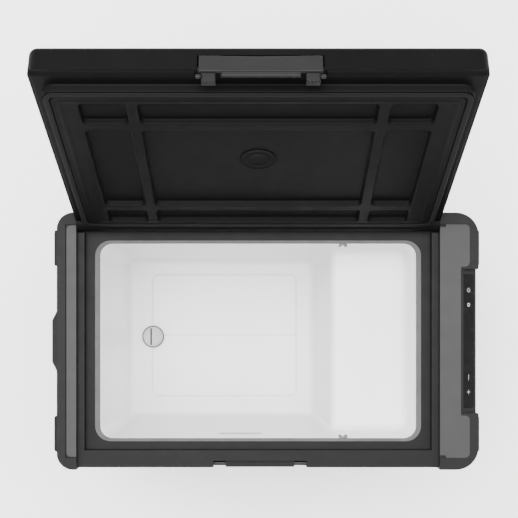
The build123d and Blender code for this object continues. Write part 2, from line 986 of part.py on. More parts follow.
with BuildPart() as right_trim:
    slab(
        case_right,
        case_right + right_trim_narrow,
        -trim_half,
        trim_half,
        cap_top - trim_thickness,
        cap_top,
    )
    for side in (-1, 1):
        strip_end(side, cap_top - trim_thickness, trim_thickness, Mode.ADD)
        # Corner notch over the hinge socket
        slab(
            case_right - 1,
            case_right + 9,
            min(side * (hinge_y - 6), side * (trim_half + 1)),
            max(side * (hinge_y - 6), side * (trim_half + 1)),
            cap_top - 10,
            cap_top + 1,
            Mode.SUBTRACT,
        )
    slab(
        case_right - strip_round - 1,
        case_right,
        -trim_half - 1,
        trim_half + 1,
        cap_top - trim_thickness - 1,
        cap_top + 1,
        Mode.SUBTRACT,
    )
save(right_trim.part, "right_trim_strip")

# ---- Control panel, built outward from its sloping plane ----
switch_top = 4.45
board_top = 7.4
with BuildPart() as panel_frame:
    with BuildSketch(panel_plane.offset(-wall)):
        Rectangle(2 * panel_half, panel_width)
    extrude(amount=wall)
    with BuildSketch(panel_plane.offset(-2)):
        Rectangle(2 * glass_half, glass_width)
    extrude(amount=3, mode=Mode.SUBTRACT)
    with BuildSketch(panel_plane.offset(-wall - 1)):
        Rectangle(2 * glass_half - 8, glass_width - 6)
    extrude(amount=3, mode=Mode.SUBTRACT)
    with BuildSketch(panel_plane.offset(-board_top)):
        with GridLocations(2 * glass_half - 16, glass_width - 4.6, 2, 2):
            Rectangle(6, 1.4)
    extrude(amount=board_top - wall)
save(panel_frame.part, "panel_frame")

with BuildPart() as panel_glass:
    with BuildSketch(panel_plane.offset(-2)):
        Rectangle(2 * glass_half - 0.4, glass_width - 0.4)
        with Locations(*[(y, 0) for y in key_y]):
            RectangleRounded(key_length, key_width, 2.5, mode=Mode.SUBTRACT)
    extrude(amount=2)
save(panel_glass.part, "panel_glass")

with BuildPart() as display_module:
    with BuildSketch(panel_plane.offset(-board_top)):
        Rectangle(72, glass_width - 8)
    extrude(amount=board_top - 2.3)
save(display_module.part, "display_module")

with BuildPart() as control_board:
    with BuildSketch(panel_plane.offset(-board_top - 1.6)):
        Rectangle(2 * glass_half - 12, glass_width - 3)
    extrude(amount=1.6)
    with BuildSketch(panel_plane.offset(-board_top - 6)):
        with Locations((-30, 0), (30, 2)):
            Rectangle(18, 9)
    extrude(amount=4.4)
save(control_board.part, "control_board")

with BuildPart() as key_switches:
    with BuildSketch(panel_plane.offset(-board_top)):
        with Locations(*[(y, 0) for y in key_y]):
            Rectangle(6, 6)
    extrude(amount=board_top - switch_top - 0.6)
    with BuildSketch(panel_plane.offset(-switch_top - 0.6)):
        with Locations(*[(y, 0) for y in key_y]):
            Circle(1.7)
    extrude(amount=0.6)
save(key_switches.part, "key_switches")

for name, y in zip(key_names, key_y):
    with BuildPart() as key:
        with BuildSketch(panel_plane.offset(-2.1)):
            with Locations((y, 0)):
                RectangleRounded(key_length - 0.5, key_width - 0.5, 2.3)
        extrude(amount=2.1)
        with BuildSketch(panel_plane.offset(-2.9)):
            with Locations((y, 0)):
                RectangleRounded(key_length + 1.4, key_width + 1.4, 2)
        extrude(amount=0.8)
        with BuildSketch(panel_plane.offset(-switch_top + key_travel + 0.05)):
            with Locations((y, 0)):
                Circle(2.5)
        extrude(amount=switch_top - key_travel - 0.05 - 2.9)
    save(key.part, name)

# ---- Inlets in the right end cap ----
with BuildPart() as dc_inlet:
    slab(
        cap_right,
        cap_right + 1.6,
        -inlet_width / 2 - 3,
        inlet_width / 2 + 3,
        dc_z - inlet_height / 2 - 3,
        dc_z + inlet_height / 2 + 3,
    )
    slab(
        cap_right - 24,
        cap_right,
        -inlet_width / 2 + 0.3,
        inlet_width / 2 - 0.3,
        dc_z - inlet_height / 2 + 0.3,
        dc_z + inlet_height / 2 - 0.3,
    )
    slab(
        cap_right - 18,
        cap_right + 2,
        -inlet_width / 2 + 3,
        inlet_width / 2 - 3,
        dc_z - inlet_height / 2 + 3,
        dc_z + inlet_height / 2 - 3,
        Mode.SUBTRACT,
    )
    for pin_y in (-5, 5):
        rod_x(cap_right - 18, cap_right - 6, pin_y, dc_z, 1.6)
save(dc_inlet.part, "dc_inlet")

with BuildPart() as ac_inlet:
    slab(
        cap_right,
        cap_right + 1.6,
        -inlet_width / 2 - 3,
        inlet_width / 2 + 3,
        ac_z - inlet_height / 2 - 3,
        ac_z + inlet_height / 2 + 3,
    )
    slab(
        cap_right - 24,
        cap_right,
        -inlet_width / 2 + 0.3,
        inlet_width / 2 - 0.3,
        ac_z - inlet_height / 2 + 0.3,
        ac_z + inlet_height / 2 - 0.3,
    )
    with BuildSketch(Plane.YZ.offset(cap_right - 18)):
        with Locations((0, ac_z)):
            SlotOverall(inlet_width - 5, inlet_height - 6)
    extrude(amount=20, mode=Mode.SUBTRACT)
    for pin_y in (-4.5, 4.5):
        rod_x(cap_right - 18, cap_right - 6, pin_y, ac_z, 1.2)
save(ac_inlet.part, "ac_inlet")

# ---- Hinge pins, seated in the caps and reaching into the lid ----
pin_reach = 9.0
with BuildPart() as hinge_pins:
    rod_x(case_left - 10, lid_left + pin_reach, hinge_y, hinge_z, pin_radius)
    rod_x(lid_right - pin_reach, case_right + 10, hinge_y, hinge_z, pin_radius)
save(hinge_pins.part, "hinge_pins")

# ---- Machine bay ----
compressor_x = bay_left + compressor_radius + 10
compressor_y = 75.0
compressor_base = pan_top + 8
mount_x = 44.0
mount_y = 48.0
mounts = [(compressor_x + a * mount_x, compressor_y + b * mount_y) for a in (-1, 1) for b in (-1, 1)]

with BuildPart() as compressor:
    with Locations((compressor_x, compressor_y, compressor_base + 3 + compressor_height / 2)):
        Cylinder(compressor_radius, compressor_height)
    fillet(compressor.faces().sort_by(Axis.Z)[-1].edges(), 20)
    with Locations((compressor_x, compressor_y, compressor_base + 3 + compressor_height * 0.55)):
        Cylinder(compressor_radius + 1.6, 7)
    slab(
        compressor_x - mount_x - 12,
        compressor_x + mount_x + 12,
        compressor_y - mount_y - 12,
        compressor_y + mount_y + 12,
        compressor_base,
        compressor_base + 3,
    )
    slab(
        compressor_x + compressor_radius - 8,
        compressor_x + compressor_radius + 14,
        compressor_y - 18,
        compressor_y + 18,
        compressor_base + 40,
        compressor_base + 74,
    )
    with Locations(*[(x, y, compressor_base + 1.5) for x, y in mounts]):
        Cylinder(6, 4, mode=Mode.SUBTRACT)
    # Tube stubs on the side that faces the fan
    for x in (compressor_x - 20, compressor_x + 20):
        with Locations(
            Location((x, compressor_y - compressor_radius + 6, compressor_base + 100), (90, 0, 0)),
        ):
            Cylinder(4.6, 18)
save(compressor.part, "compressor")

with BuildPart() as compressor_mounts:
    for z0, z1, radius in (
        (pan_top, compressor_base, 9),
        (compressor_base, compressor_base + 3, 6),
        (compressor_base + 3, compressor_base + 6, 8),
    ):
        with Locations(*[(x, y, (z0 + z1) / 2) for x, y in mounts]):
            Cylinder(radius, z1 - z0)
    with Locations(*[(x, y, pan_top + 8) for x, y in mounts]):
        Cylinder(3, 20, mode=Mode.SUBTRACT)
save(compressor_mounts.part, "compressor_mounts")

with BuildPart() as compressor_bolts:
    with Locations(*[(x, y, pan_top + 7) for x, y in mounts]):
        Cylinder(3, 14)
    with Locations(*[(x, y, pan_top + 15.5) for x, y in mounts]):
        Cylinder(6.5, 3)
save(compressor_bolts.part, "compressor_bolts")

# Condenser: tube sheets and fins crossed by a serpentine tube, fan behind it
condenser_y = -0.489 * cap_half
condenser_z = 118.0
condenser_half = 0.2934 * cap_half
condenser_x1 = bay_right - 9
condenser_x0 = condenser_x1 - 25
tube_x = (condenser_x0 + condenser_x1) / 2
tube_radius = 3.0
tube_pitch = 20.0
passes = 6
pass_z = [condenser_z - tube_pitch * (passes - 1) / 2 + tube_pitch * n for n in range(passes)]
fin_count = 21
fin_pitch = (2 * condenser_half - 2) / (fin_count + 1)

with BuildPart() as condenser_fins:
    for side in (-1, 1):
        y = condenser_y + side * condenser_half
        slab(condenser_x0, condenser_x1, y - 0.75, y + 0.75, pan_top, condenser_z + condenser_half)
    for n in range(fin_count):
        y = condenser_y - condenser_half + 1 + fin_pitch * (n + 1)
        slab(
            condenser_x0,
            condenser_x1,
            y - 0.3,
            y + 0.3,
            condenser_z - condenser_half,
            condenser_z + condenser_half,
        )
    with BuildSketch(Plane.XZ.offset(-(condenser_y + condenser_half + 2))):
        with Locations(*[(tube_x, z) for z in pass_z]):
            Circle(tube_radius)
    extrude(amount=2 * condenser_half + 4, mode=Mode.SUBTRACT)
save(condenser_fins.part, "condenser_fins")

bend = tube_pitch / 2 - 0.01
turn_out = condenser_half + 4 + bend
tube_end_y = condenser_y + turn_out + 6
route = [(tube_x, tube_end_y, pass_z[0])]
for n in range(passes):
    side = -1 if n % 2 == 0 else 1
    last = n == passes - 1
    route.append((tube_x, tube_end_y if last else condenser_y + side * turn_out, pass_z[n]))
    if not last:
        route.append((tube_x, condenser_y + side * turn_out, pass_z[n + 1]))


def bent_tube(points, radii, tube):
    """A round tube swept along straight runs joined by arcs."""
    with BuildPart() as pipe:
        with BuildLine() as path:
            FilletPolyline(*points, radius=radii)
        start = path.line @ 0
        with BuildSketch(Plane(origin=start, z_dir=path.line % 0)) as section:
            Circle(tube)
        sweep(section.sketch, path=path.line)
    return pipe.part


save(bent_tube(route, bend, tube_radius), "condenser_tube")

shroud_x = condenser_x0 - 1.2
fan_x0 = shroud_x - fan_depth
fan_bore = fan_size / 2 - 2.5
hub_radius = 17.0
axle_radius = 2.0
with BuildPart() as fan_shroud:
    slab(
        shroud_x,
        condenser_x0,
        condenser_y - condenser_half,
        condenser_y + condenser_half,
        condenser_z - condenser_half,
        condenser_z + condenser_half,
    )
    rod_x(shroud_x - 1, condenser_x0 + 1, condenser_y, condenser_z, fan_bore, Mode.SUBTRACT)
save(fan_shroud.part, "fan_shroud")

with BuildPart() as fan_frame:
    half = fan_size / 2
    slab(fan_x0, shroud_x, condenser_y - half, condenser_y + half, condenser_z - half, condenser_z + half)
    rod_x(fan_x0 - 1, shroud_x + 1, condenser_y, condenser_z, fan_bore, Mode.SUBTRACT)
    rod_x(fan_x0, fan_x0 + 4, condenser_y, condenser_z, hub_radius)
    for turn in (0, 90):
        with Locations(Location((fan_x0 + 2, condenser_y, condenser_z), (turn, 0, 0))):
            Box(4, 2 * fan_bore + 2, 4)
    rod_x(fan_x0 + 4, fan_x0 + 19, condenser_y, condenser_z, axle_radius)
    corner = half - 5.5
    with BuildSketch(Plane.YZ.offset(fan_x0 - 1)):
        with Locations((condenser_y, condenser_z)):
            with GridLocations(2 * corner, 2 * corner, 2, 2):
                Circle(2.2)
    extrude(amount=fan_depth + 2, mode=Mode.SUBTRACT)
save(fan_frame.part, "fan_frame")

with BuildPart() as fan_screws:
    with BuildSketch(Plane.YZ.offset(fan_x0)):
        with Locations((condenser_y, condenser_z)):
            with GridLocations(2 * corner, 2 * corner, 2, 2):
                Circle(2.0)
    extrude(amount=fan_depth)
    with BuildSketch(Plane.YZ.offset(fan_x0 - 2)):
        with Locations((condenser_y, condenser_z)):
            with GridLocations(2 * corner, 2 * corner, 2, 2):
                Circle(3.6)
    extrude(amount=2)
save(fan_screws.part, "fan_screws")

with BuildPart() as fan_rotor:
    rod_x(fan_x0 + 4.6, fan_x0 + 20, condenser_y, condenser_z, hub_radius - 0.5)
    rod_x(fan_x0 + 4, fan_x0 + 19, condenser_y, condenser_z, axle_radius + running, Mode.SUBTRACT)
    for blade in range(7):
        angle = blade * 360 / 7
        reach = (hub_radius + fan_bore - 2) / 2
        y = condenser_y + reach * cos(radians(angle))
        z = condenser_z + reach * sin(radians(angle))
        with Locations(Location((fan_x0 + 12, y, z), (angle, 0, 0)) * Location((0, 0, 0), (0, 35, 0))):
            Box(2, fan_bore - hub_radius, 17)
save(fan_rotor.part, "fan_rotor")

# Refrigerant lines, dryer and inverter
line_y = -60.0
line_z = bay_height - 20
stub_y = compressor_y - compressor_radius - 3
stub_z = compressor_base + 100
suction_x = compressor_x - 20
discharge_x = compressor_x + 20
line_radius = 4.0
dryer_radius = 9.5
dryer_x = bay_left + dryer_radius + 0.3
dryer_y = -15.0
dryer_low = 60.0
dryer_high = 130.0
capillary_radius = 1.2
capillary_y = line_y + 5.4
line_start = step_x + 1.2

with BuildPart() as line_grommet:
    rod_x(line_start + 0.3, bay_left + 1, line_y, line_z, 7)
    rod_x(line_start, bay_left + 2, line_y, line_z, line_radius, Mode.SUBTRACT)
    rod_x(line_start, bay_left + 2, capillary_y, line_z, capillary_radius, Mode.SUBTRACT)
save(line_grommet.part, "line_grommet")

suction_route = (
    (line_start, line_y, line_z),
    (suction_x, line_y, line_z),
    (suction_x, stub_y - 18, line_z),
    (suction_x, stub_y - 18, stub_z),
    (suction_x, stub_y, stub_z),
)
save(bent_tube(suction_route, (12, 14, 12), line_radius), "suction_line")

discharge_route = (
    (tube_x, tube_end_y, pass_z[-1]),
    (tube_x, stub_y - 14, pass_z[-1]),
    (tube_x, stub_y - 14, pass_z[-1] + 28),
    (discharge_x, stub_y - 14, pass_z[-1] + 28),
    (discharge_x, stub_y - 14, stub_z),
    (discharge_x, stub_y, stub_z),
)

liquid_route = (
    (tube_x, tube_end_y, pass_z[0]),
    (tube_x, stub_y - 18, pass_z[0]),
    (tube_x, stub_y - 18, pass_z[0] - 34),
    (dryer_x, stub_y - 18, pass_z[0] - 34),
    (dryer_x, dryer_y, pass_z[0] - 34),
    (dryer_x, dryer_y, dryer_low),
)

capillary_route = (
    (dryer_x, dryer_y, dryer_high),
    (dryer_x, dryer_y, line_z),
    (dryer_x, capillary_y, line_z),
    (line_start, capillary_y, line_z),
)
discharge_tube = bent_tube(discharge_route, (10, 12, 14, 10), tube_radius)
liquid_tube = bent_tube(liquid_route, (9, 10, 6, 6), tube_radius)
capillary_tube = bent_tube(capillary_route, (10, 8), capillary_radius)
with BuildPart() as copper_lines:
    add(discharge_tube)
    add(liquid_tube)
    add(capillary_tube)
save(copper_lines.part, "copper_lines")

with BuildPart() as dryer:
    with Locations((dryer_x, dryer_y, (dryer_low + dryer_high) / 2)):
        Cylinder(dryer_radius, dryer_high - dryer_low)
    chamfer(dryer.edges().filter_by(GeomType.CIRCLE), 6)
save(dryer.part, "dryer_filter")

with BuildPart() as inverter:
    slab(bay_left, bay_left + 30, -160, -45, 60, 130)
    for fin in range(10):
        slab(bay_left + 30, bay_left + 40, -158 + fin * 12, -155.5 + fin * 12, 62, 128)
save(inverter.part, "inverter_module")

# ---- Lid, drawn closed ----
lid_mid = (lid_left + lid_right) / 2
lid_half = (lid_right - lid_left) / 2
recess_back = -cap_half + 12.0
recess_top = lid_top - 16.0
block_back = recess_back + wall
block_half = cheek_inner + cheek_wall
bush_radius = 7.0
bush_length = 14.0

with BuildPart() as lid_cavity:
    rounded_block(
        lid_base - 1,
        lid_top - wall - lid_base + 1,
        (lid_mid, (lid_front + barrel_front) / 2),
        (2 * (lid_half - wall), barrel_front - lid_front - 2 * wall),
        lid_corner_front - wall,
    )
    fillet(lid_cavity.faces().sort_by(Axis.Z)[-1].edges(), lid_round - wall)

with BuildPart() as lid_outer:
    with BuildSketch(Plane.YZ.offset(lid_left)):
        with BuildLine():
            Polyline(
                (barrel_front, lid_base),
                (lid_front, lid_base),
                (lid_front, lid_top),
                (lid_back, lid_top),
                (lid_back, hinge_z),
            )
            ThreePointArc((lid_back, hinge_z), (hinge_y, hinge_z - barrel_radius), (barrel_front, lid_base))
        make_face()
    extrude(amount=2 * lid_half)
    with BuildSketch(Plane.XY.offset(lid_base - 30)):
        with Locations((lid_mid, (lid_front + lid_back) / 2)):
            lid_plan = Rectangle(2 * lid_half, lid_back - lid_front)
        fillet(lid_plan.vertices().group_by(Axis.Y)[0], lid_corner_front)
        chamfer(lid_plan.vertices().group_by(Axis.Y)[-1], lid_corner_back)
    extrude(amount=lid_rise + 60, mode=Mode.INTERSECT)
    fillet(lid_outer.faces().sort_by(Axis.Z)[-1].edges(), lid_round)
    add(lid_cavity.part, mode=Mode.SUBTRACT)
    slab(
        lid_left + bush_length + 4,
        lid_right - bush_length - 4,
        barrel_front - wall - 1,
        lid_back - wall,
        hinge_z + 8,
        lid_top - lid_round + wall,
        Mode.SUBTRACT,
    )
    # Latch recess with its back block, cheeks and ears
    slab(latch_x - block_half, latch_x + block_half, lid_front + 1, block_back, lid_base, recess_top + wall)
    slab(
        latch_x - cheek_inner,
        latch_x + cheek_inner,
        lid_front - 1,
        recess_back,
        lid_base - 1,
        recess_top,
        Mode.SUBTRACT,
    )
    for side in (-1, 1):
        ear_mid = latch_x + side * (ear_inner + ear_outer) / 2
        ear_half = (ear_outer - ear_inner) / 2
        slab(ear_mid - ear_half, ear_mid + ear_half, latch_y - 3.2, recess_back, lid_base, latch_z + 4)
        pin_mid = latch_x + side * (ear_inner + block_half - 1) / 2
        pin_half = (block_half - 1 - ear_inner) / 2
        rod_x(pin_mid - pin_half, pin_mid + pin_half, latch_y, latch_z, latch_pin_radius, Mode.SUBTRACT)
    rod_x(lid_left - 1, lid_left + bush_length, hinge_y, hinge_z, bush_radius, Mode.SUBTRACT)
    rod_x(lid_right - bush_length, lid_right + 1, hinge_y, hinge_z, bush_radius, Mode.SUBTRACT)
save(lid_outer.part, "lid_outer", lid_swing)

with BuildPart() as hinge_bushes:
    rod_x(lid_left, lid_left + bush_length, hinge_y, hinge_z, bush_radius)
    rod_x(lid_right - bush_length, lid_right, hinge_y, hinge_z, bush_radius)
    rod_x(lid_left - 1, lid_left + bush_length - 3, hinge_y, hinge_z, pin_radius + running, Mode.SUBTRACT)
    rod_x(lid_right - bush_length + 3, lid_right + 1, hinge_y, hinge_z, pin_radius + running, Mode.SUBTRACT)
save(hinge_bushes.part, "hinge_bushes", lid_swing)

plug_half = lid_half - side_border - 1.2
plug_front = border_front + 1.0
plug_back = barrel_front - wall - 0.5
gasket_half = plug_half - 1.0
gasket_front = plug_front + 1.2
gasket_back = plug_back - 0.8
gasket_mid = (gasket_front + gasket_back) / 2
gasket_depth = gasket_back - gasket_front
groove_top = plug_z + 5
pocket_columns = ((-231, -171), (-155, 155), (171, 231))
column_scale = plug_half / 276.0
row_scale = (plug_back - plug_front) / 345.6
row_edges = ((-149, -105), (-90, 106), (120, 156))
pocket_rows = [(near * row_scale, far * row_scale) for near, far in row_edges]
panel_top = lid_base + wall

with BuildPart() as lid_inner:
    rounded_block(
        lid_base,
        wall,
        (lid_mid, (lid_front + barrel_front) / 2),
        (2 * (lid_half - wall), barrel_front - lid_front - 2 * wall),
        lid_corner_front - wall,
    )
    rounded_block(
        plug_z,
        panel_top - plug_z,
        (lid_mid, (plug_front + plug_back) / 2),
        (2 * plug_half, plug_back - plug_front),
        18,
    )
    slab(
        lid_mid - plug_half + lid_floor,
        lid_mid + plug_half - lid_floor,
        plug_front + lid_floor,
        plug_back - lid_floor,
        plug_z + lid_floor,
        panel_top,
        Mode.SUBTRACT,
    )
    rounded_ring(
        plug_z,
        groove_top + 2 - plug_z,
        (lid_mid, gasket_mid),
        (2 * gasket_half, gasket_depth),
        (2 * (gasket_half - gasket_width - 2), gasket_depth - 2 * gasket_width - 4),
        17,
        10,
    )
    for x0, x1 in pocket_columns:
        for y0, y1 in pocket_rows:
            slab(
                lid_mid + x0 * column_scale - 2,
                lid_mid + x1 * column_scale + 2,
                y0 - 2,
                y1 + 2,
                plug_z,
                plug_z + pocket_depth + lid_floor,
            )
    for x0, x1 in pocket_columns:
        for y0, y1 in pocket_rows:
            rounded_block(
                plug_z - 1,
                pocket_depth + 1,
                (lid_mid + (x0 + x1) / 2 * column_scale, (y0 + y1) / 2),
                ((x1 - x0) * column_scale, y1 - y0),
                7,
                Mode.SUBTRACT,
            )
    rounded_ring(
        plug_z - 1,
        groove_top + 1 - plug_z,
        (lid_mid, gasket_mid),
        (2 * gasket_half, gasket_depth),
        (2 * (gasket_half - gasket_width), gasket_depth - 2 * gasket_width),
        17,
        10,
        Mode.SUBTRACT,
    )
    with Locations((lid_mid, port_y, plug_z + pocket_depth)):
        Cylinder(10, 20, mode=Mode.SUBTRACT)
    slab(
        latch_x - block_half,
        latch_x + block_half,
        lid_front,
        block_back,
        lid_base - 1,
        panel_top + 1,
        Mode.SUBTRACT,
    )
save(lid_inner.part, "lid_inner_panel", lid_swing)

with BuildPart() as lid_gasket:
    rounded_ring(
        land_z + gasket_clear,
        groove_top - land_z - gasket_clear,
        (lid_mid, gasket_mid),
        (2 * gasket_half - 0.6, gasket_depth - 0.6),
        (2 * (gasket_half - gasket_width) + 0.6, gasket_depth - 2 * gasket_width + 0.6),
        16.7,
        10.3,
    )
save(lid_gasket.part, "lid_gasket", lid_swing)

with BuildPart() as port_cap:
    with Locations((lid_mid, port_y, plug_z + pocket_depth - 0.75)):
        Cylinder(26, 1.5)
    with Locations((lid_mid, port_y, plug_z + pocket_depth + 2)):
        Cylinder(10, 4)
save(port_cap.part, "foam_port_cap", lid_swing)

with BuildPart() as lid_foam:
    add(lid_cavity.part)
    slab(lid_left, lid_right, lid_front, lid_back, lid_base - 1, panel_top, Mode.SUBTRACT)
    slab(
        lid_mid - plug_half + lid_floor,
        lid_mid + plug_half - lid_floor,
        plug_front + lid_floor,
        plug_back - lid_floor,
        plug_z + lid_floor,
        panel_top,
    )
    rounded_ring(
        plug_z,
        groove_top + 2 - plug_z,
        (lid_mid, gasket_mid),
        (2 * gasket_half + 20, gasket_depth + 20),
        (2 * (gasket_half - gasket_width - 2), gasket_depth - 2 * gasket_width - 4),
        17,
        10,
        Mode.SUBTRACT,
    )
    for x0, x1 in pocket_columns:
        for y0, y1 in pocket_rows:
            slab(
                lid_mid + x0 * column_scale - 2,
                lid_mid + x1 * column_scale + 2,
                y0 - 2,
                y1 + 2,
                plug_z,
                plug_z + pocket_depth + lid_floor,
                Mode.SUBTRACT,
            )
    slab(
        latch_x - block_half,
        latch_x + block_half,
        lid_front,
        block_back,
        lid_base,
        lid_top,
        Mode.SUBTRACT,
    )
    with Locations((lid_mid, port_y, plug_z + pocket_depth)):
        Cylinder(10, 8, mode=Mode.SUBTRACT)
save(lid_foam.part, "lid_foam", lid_swing)

# ---- Latch: handle with two hook legs, pins in the lid's ears, springs round the pins ----
plate_back = latch_y - 4.8
plate_front = plate_back - 4.0
plate_low = rim_height + 1.0
plate_end = rim_height + 19.5
plate_dip = rim_height + 17.0
bar_low = rim_height - 5.0
bar_top = rim_height + 5.5
bar_half = 49.5
leg_back = latch_y - 0.3
leg_front = leg_back - 5.2
leg_low = rim_height - leg_reach
toe_back = keeper_y + 0.6
with BuildPart() as latch_handle:
    with BuildSketch(Plane.XZ.offset(-plate_back)):
        with BuildLine():
            dip = 40.0
            Line((latch_x - latch_half, plate_low), (latch_x - latch_half, plate_end))
            Line((latch_x - latch_half, plate_end), (latch_x - leg_inner + 3, plate_end))
            Line((latch_x - leg_inner + 3, plate_end), (latch_x - dip, plate_dip))
            Line((latch_x - dip, plate_dip), (latch_x + dip, plate_dip))
            Line((latch_x + dip, plate_dip), (latch_x + leg_inner - 3, plate_end))
            Line((latch_x + leg_inner - 3, plate_end), (latch_x + latch_half, plate_end))
            Line((latch_x + latch_half, plate_end), (latch_x + latch_half, plate_low))
            Line((latch_x + latch_half, plate_low), (latch_x - latch_half, plate_low))
        make_face()
    extrude(amount=plate_back - plate_front)
    # The plate's foot rises between the legs, and a grip bar hangs below it
    slab(
        latch_x - leg_inner + 3,
        latch_x + leg_inner - 3,
        plate_front - 1,
        plate_back + 1,
        plate_low - 1,
        bar_top - 1,
        Mode.SUBTRACT,
    )
    slab(latch_x - bar_half, latch_x + bar_half, plate_front, plate_back, bar_low, bar_top)
    for side in (-1, 1):
        inner = latch_x + side * leg_inner
        outer = latch_x + side * leg_outer
        x0 = min(inner, outer)
        x1 = max(inner, outer)
        slab(x0, x1, leg_front, leg_back, leg_low, plate_end - 4)
        slab(x0, x1, leg_back - 0.1, toe_back, leg_low, keeper_z - keeper_radius - 0.7)
        rod_x(x0, x1, latch_y, latch_z, 5.0)
        rod_x(x0 - 1, x1 + 1, latch_y, latch_z, latch_pin_radius + running, Mode.SUBTRACT)
save(latch_handle.part, "latch_handle", lid_swing)

with BuildPart() as latch_pins:
    for side in (-1, 1):
        pin_mid = latch_x + side * (ear_inner + block_half - 1) / 2
        pin_half = (block_half - 1 - ear_inner) / 2
        rod_x(pin_mid - pin_half, pin_mid + pin_half, latch_y, latch_z, latch_pin_radius)
save(latch_pins.part, "latch_pins", lid_swing)

with BuildPart() as latch_springs:
    for side in (-1, 1):
        for turn in range(4):
            coil_x = latch_x + side * (leg_outer + 1.0 + turn * 1.3)
            with Locations(Location((coil_x, latch_y, latch_z), (0, 90, 0))):
                Torus(latch_pin_radius + spring_wire + 0.05, spring_wire)
save(latch_springs.part, "latch_springs", lid_swing)
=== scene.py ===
import json
import math

import bmesh
import bpy
import numpy as np
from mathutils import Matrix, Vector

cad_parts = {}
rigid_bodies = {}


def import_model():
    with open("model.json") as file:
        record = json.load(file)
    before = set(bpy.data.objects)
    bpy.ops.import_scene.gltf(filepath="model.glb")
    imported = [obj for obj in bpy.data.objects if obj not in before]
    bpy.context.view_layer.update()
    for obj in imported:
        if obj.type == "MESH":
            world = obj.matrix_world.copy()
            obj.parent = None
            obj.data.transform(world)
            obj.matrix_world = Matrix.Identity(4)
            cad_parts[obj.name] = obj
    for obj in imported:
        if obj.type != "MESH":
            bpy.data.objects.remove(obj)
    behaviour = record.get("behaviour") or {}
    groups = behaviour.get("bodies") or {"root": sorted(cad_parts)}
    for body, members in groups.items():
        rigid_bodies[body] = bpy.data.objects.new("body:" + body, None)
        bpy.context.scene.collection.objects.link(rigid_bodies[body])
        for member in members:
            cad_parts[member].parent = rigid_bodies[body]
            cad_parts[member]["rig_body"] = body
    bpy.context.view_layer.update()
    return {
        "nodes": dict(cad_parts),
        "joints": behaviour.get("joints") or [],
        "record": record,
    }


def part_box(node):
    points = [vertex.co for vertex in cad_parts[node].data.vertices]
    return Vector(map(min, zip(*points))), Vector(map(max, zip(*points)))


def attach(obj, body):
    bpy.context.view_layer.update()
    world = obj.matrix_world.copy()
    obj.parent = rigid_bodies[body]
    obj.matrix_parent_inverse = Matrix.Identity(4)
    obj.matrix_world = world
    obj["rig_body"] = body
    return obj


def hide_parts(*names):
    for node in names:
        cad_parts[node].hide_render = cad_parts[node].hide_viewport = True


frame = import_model()
nodes = frame["nodes"]
joints = {joint["name"]: joint for joint in frame["joints"]}
node_slot = {part["node"]: part["material_slot"] for part in frame["record"]["subparts"]}


# ---- Shader maths ----
class Value:
    """A number on a node's socket; the operators add Math nodes beside it."""

    def __init__(self, finish, socket):
        self.finish = finish
        self.socket = socket

    def maths(self, operation, first, second):
        """The Math node first (operation) second."""
        return self.finish.node("ShaderNodeMath", {"operation": operation}, {0: first, 1: second})

    def __add__(self, other):
        return self.maths("ADD", self, other)

    def __radd__(self, other):
        return self.maths("ADD", other, self)

    def __sub__(self, other):
        return self.maths("SUBTRACT", self, other)

    def __rsub__(self, other):
        return self.maths("SUBTRACT", other, self)

    def __mul__(self, other):
        return self.maths("MULTIPLY", self, other)

    def __rmul__(self, other):
        return self.maths("MULTIPLY", other, self)

    def __gt__(self, other):
        return self.maths("GREATER_THAN", self, other)

    def __abs__(self):
        return self.maths("ABSOLUTE", self, 0.0)


class Finish:
    """One material: a principled shader whose constant sockets are set at once."""

    def __init__(self, name, **sockets):
        self.material = bpy.data.materials.new(name)
        self.material.use_nodes = True
        self.tree = self.material.node_tree
        self.shader = self.tree.nodes["Principled BSDF"]
        for socket, amount in sockets.items():
            self.set(socket.replace("_", " "), amount)

    def node(self, kind, settings, inputs, output=0):
        """Add a node of this type, apply its settings, then its sockets' values or links."""
        added = self.tree.nodes.new(kind)
        for setting, amount in settings.items():
            setattr(added, setting, amount)
        for socket, amount in inputs.items():
            self.feed(added.inputs[socket], amount)
        return Value(self, added.outputs[output])

    def feed(self, socket, amount):
        """Link a Value to the socket, or set a plain number or colour on it."""
        if isinstance(amount, Value):
            self.tree.links.new(amount.socket, socket)
        else:
            socket.default_value = amount

    def set(self, socket, amount):
        """Feed one of the shader's own sockets; colours get their fourth number."""
        if isinstance(amount, tuple) and len(amount) == 3:
            amount = (*amount, 1.0)
        self.feed(self.shader.inputs[socket], amount)

    def place(self):
        """Object coordinates, which are metres in the cooler's own frame."""
        return self.node("ShaderNodeTexCoord", {}, {}, "Object")

    def noise(self, place, scale, detail=2.0, roughness=0.5):
        """Fractal noise between 0 and 1, scale in cells a metre."""
        sockets = {"Vector": place, "Scale": scale, "Detail": detail, "Roughness": roughness}
        return self.node("ShaderNodeTexNoise", {}, sockets)

    def cells(self, place, scale):
        """Distance to the nearest of scattered points, scale in points a metre."""
        return self.node("ShaderNodeTexVoronoi", {}, {"Vector": place, "Scale": scale})

    def span(self, amount, low, high, to_low=0.0, to_high=1.0):
        """Map the range low..high onto to_low..to_high with clamped ends."""
        sockets = {0: amount, 1: low, 2: high, 3: to_low, 4: to_high}
        return self.node("ShaderNodeMapRange", {"clamp": True}, sockets)

    def blend(self, factor, first, second):
        """Mix two colours by a factor."""
        sockets = {0: factor, 6: (*first, 1.0), 7: (*second, 1.0)}
        return self.node("ShaderNodeMix", {"data_type": "RGBA"}, sockets, 2)

    def relief(self, height, depth, strength=1.0):
        """Bump the surface by a height field that is depth metres deep."""
        sockets = {"Height": height, "Distance": depth, "Strength": strength}
        self.set("Normal", self.node("ShaderNodeBump", {}, sockets))


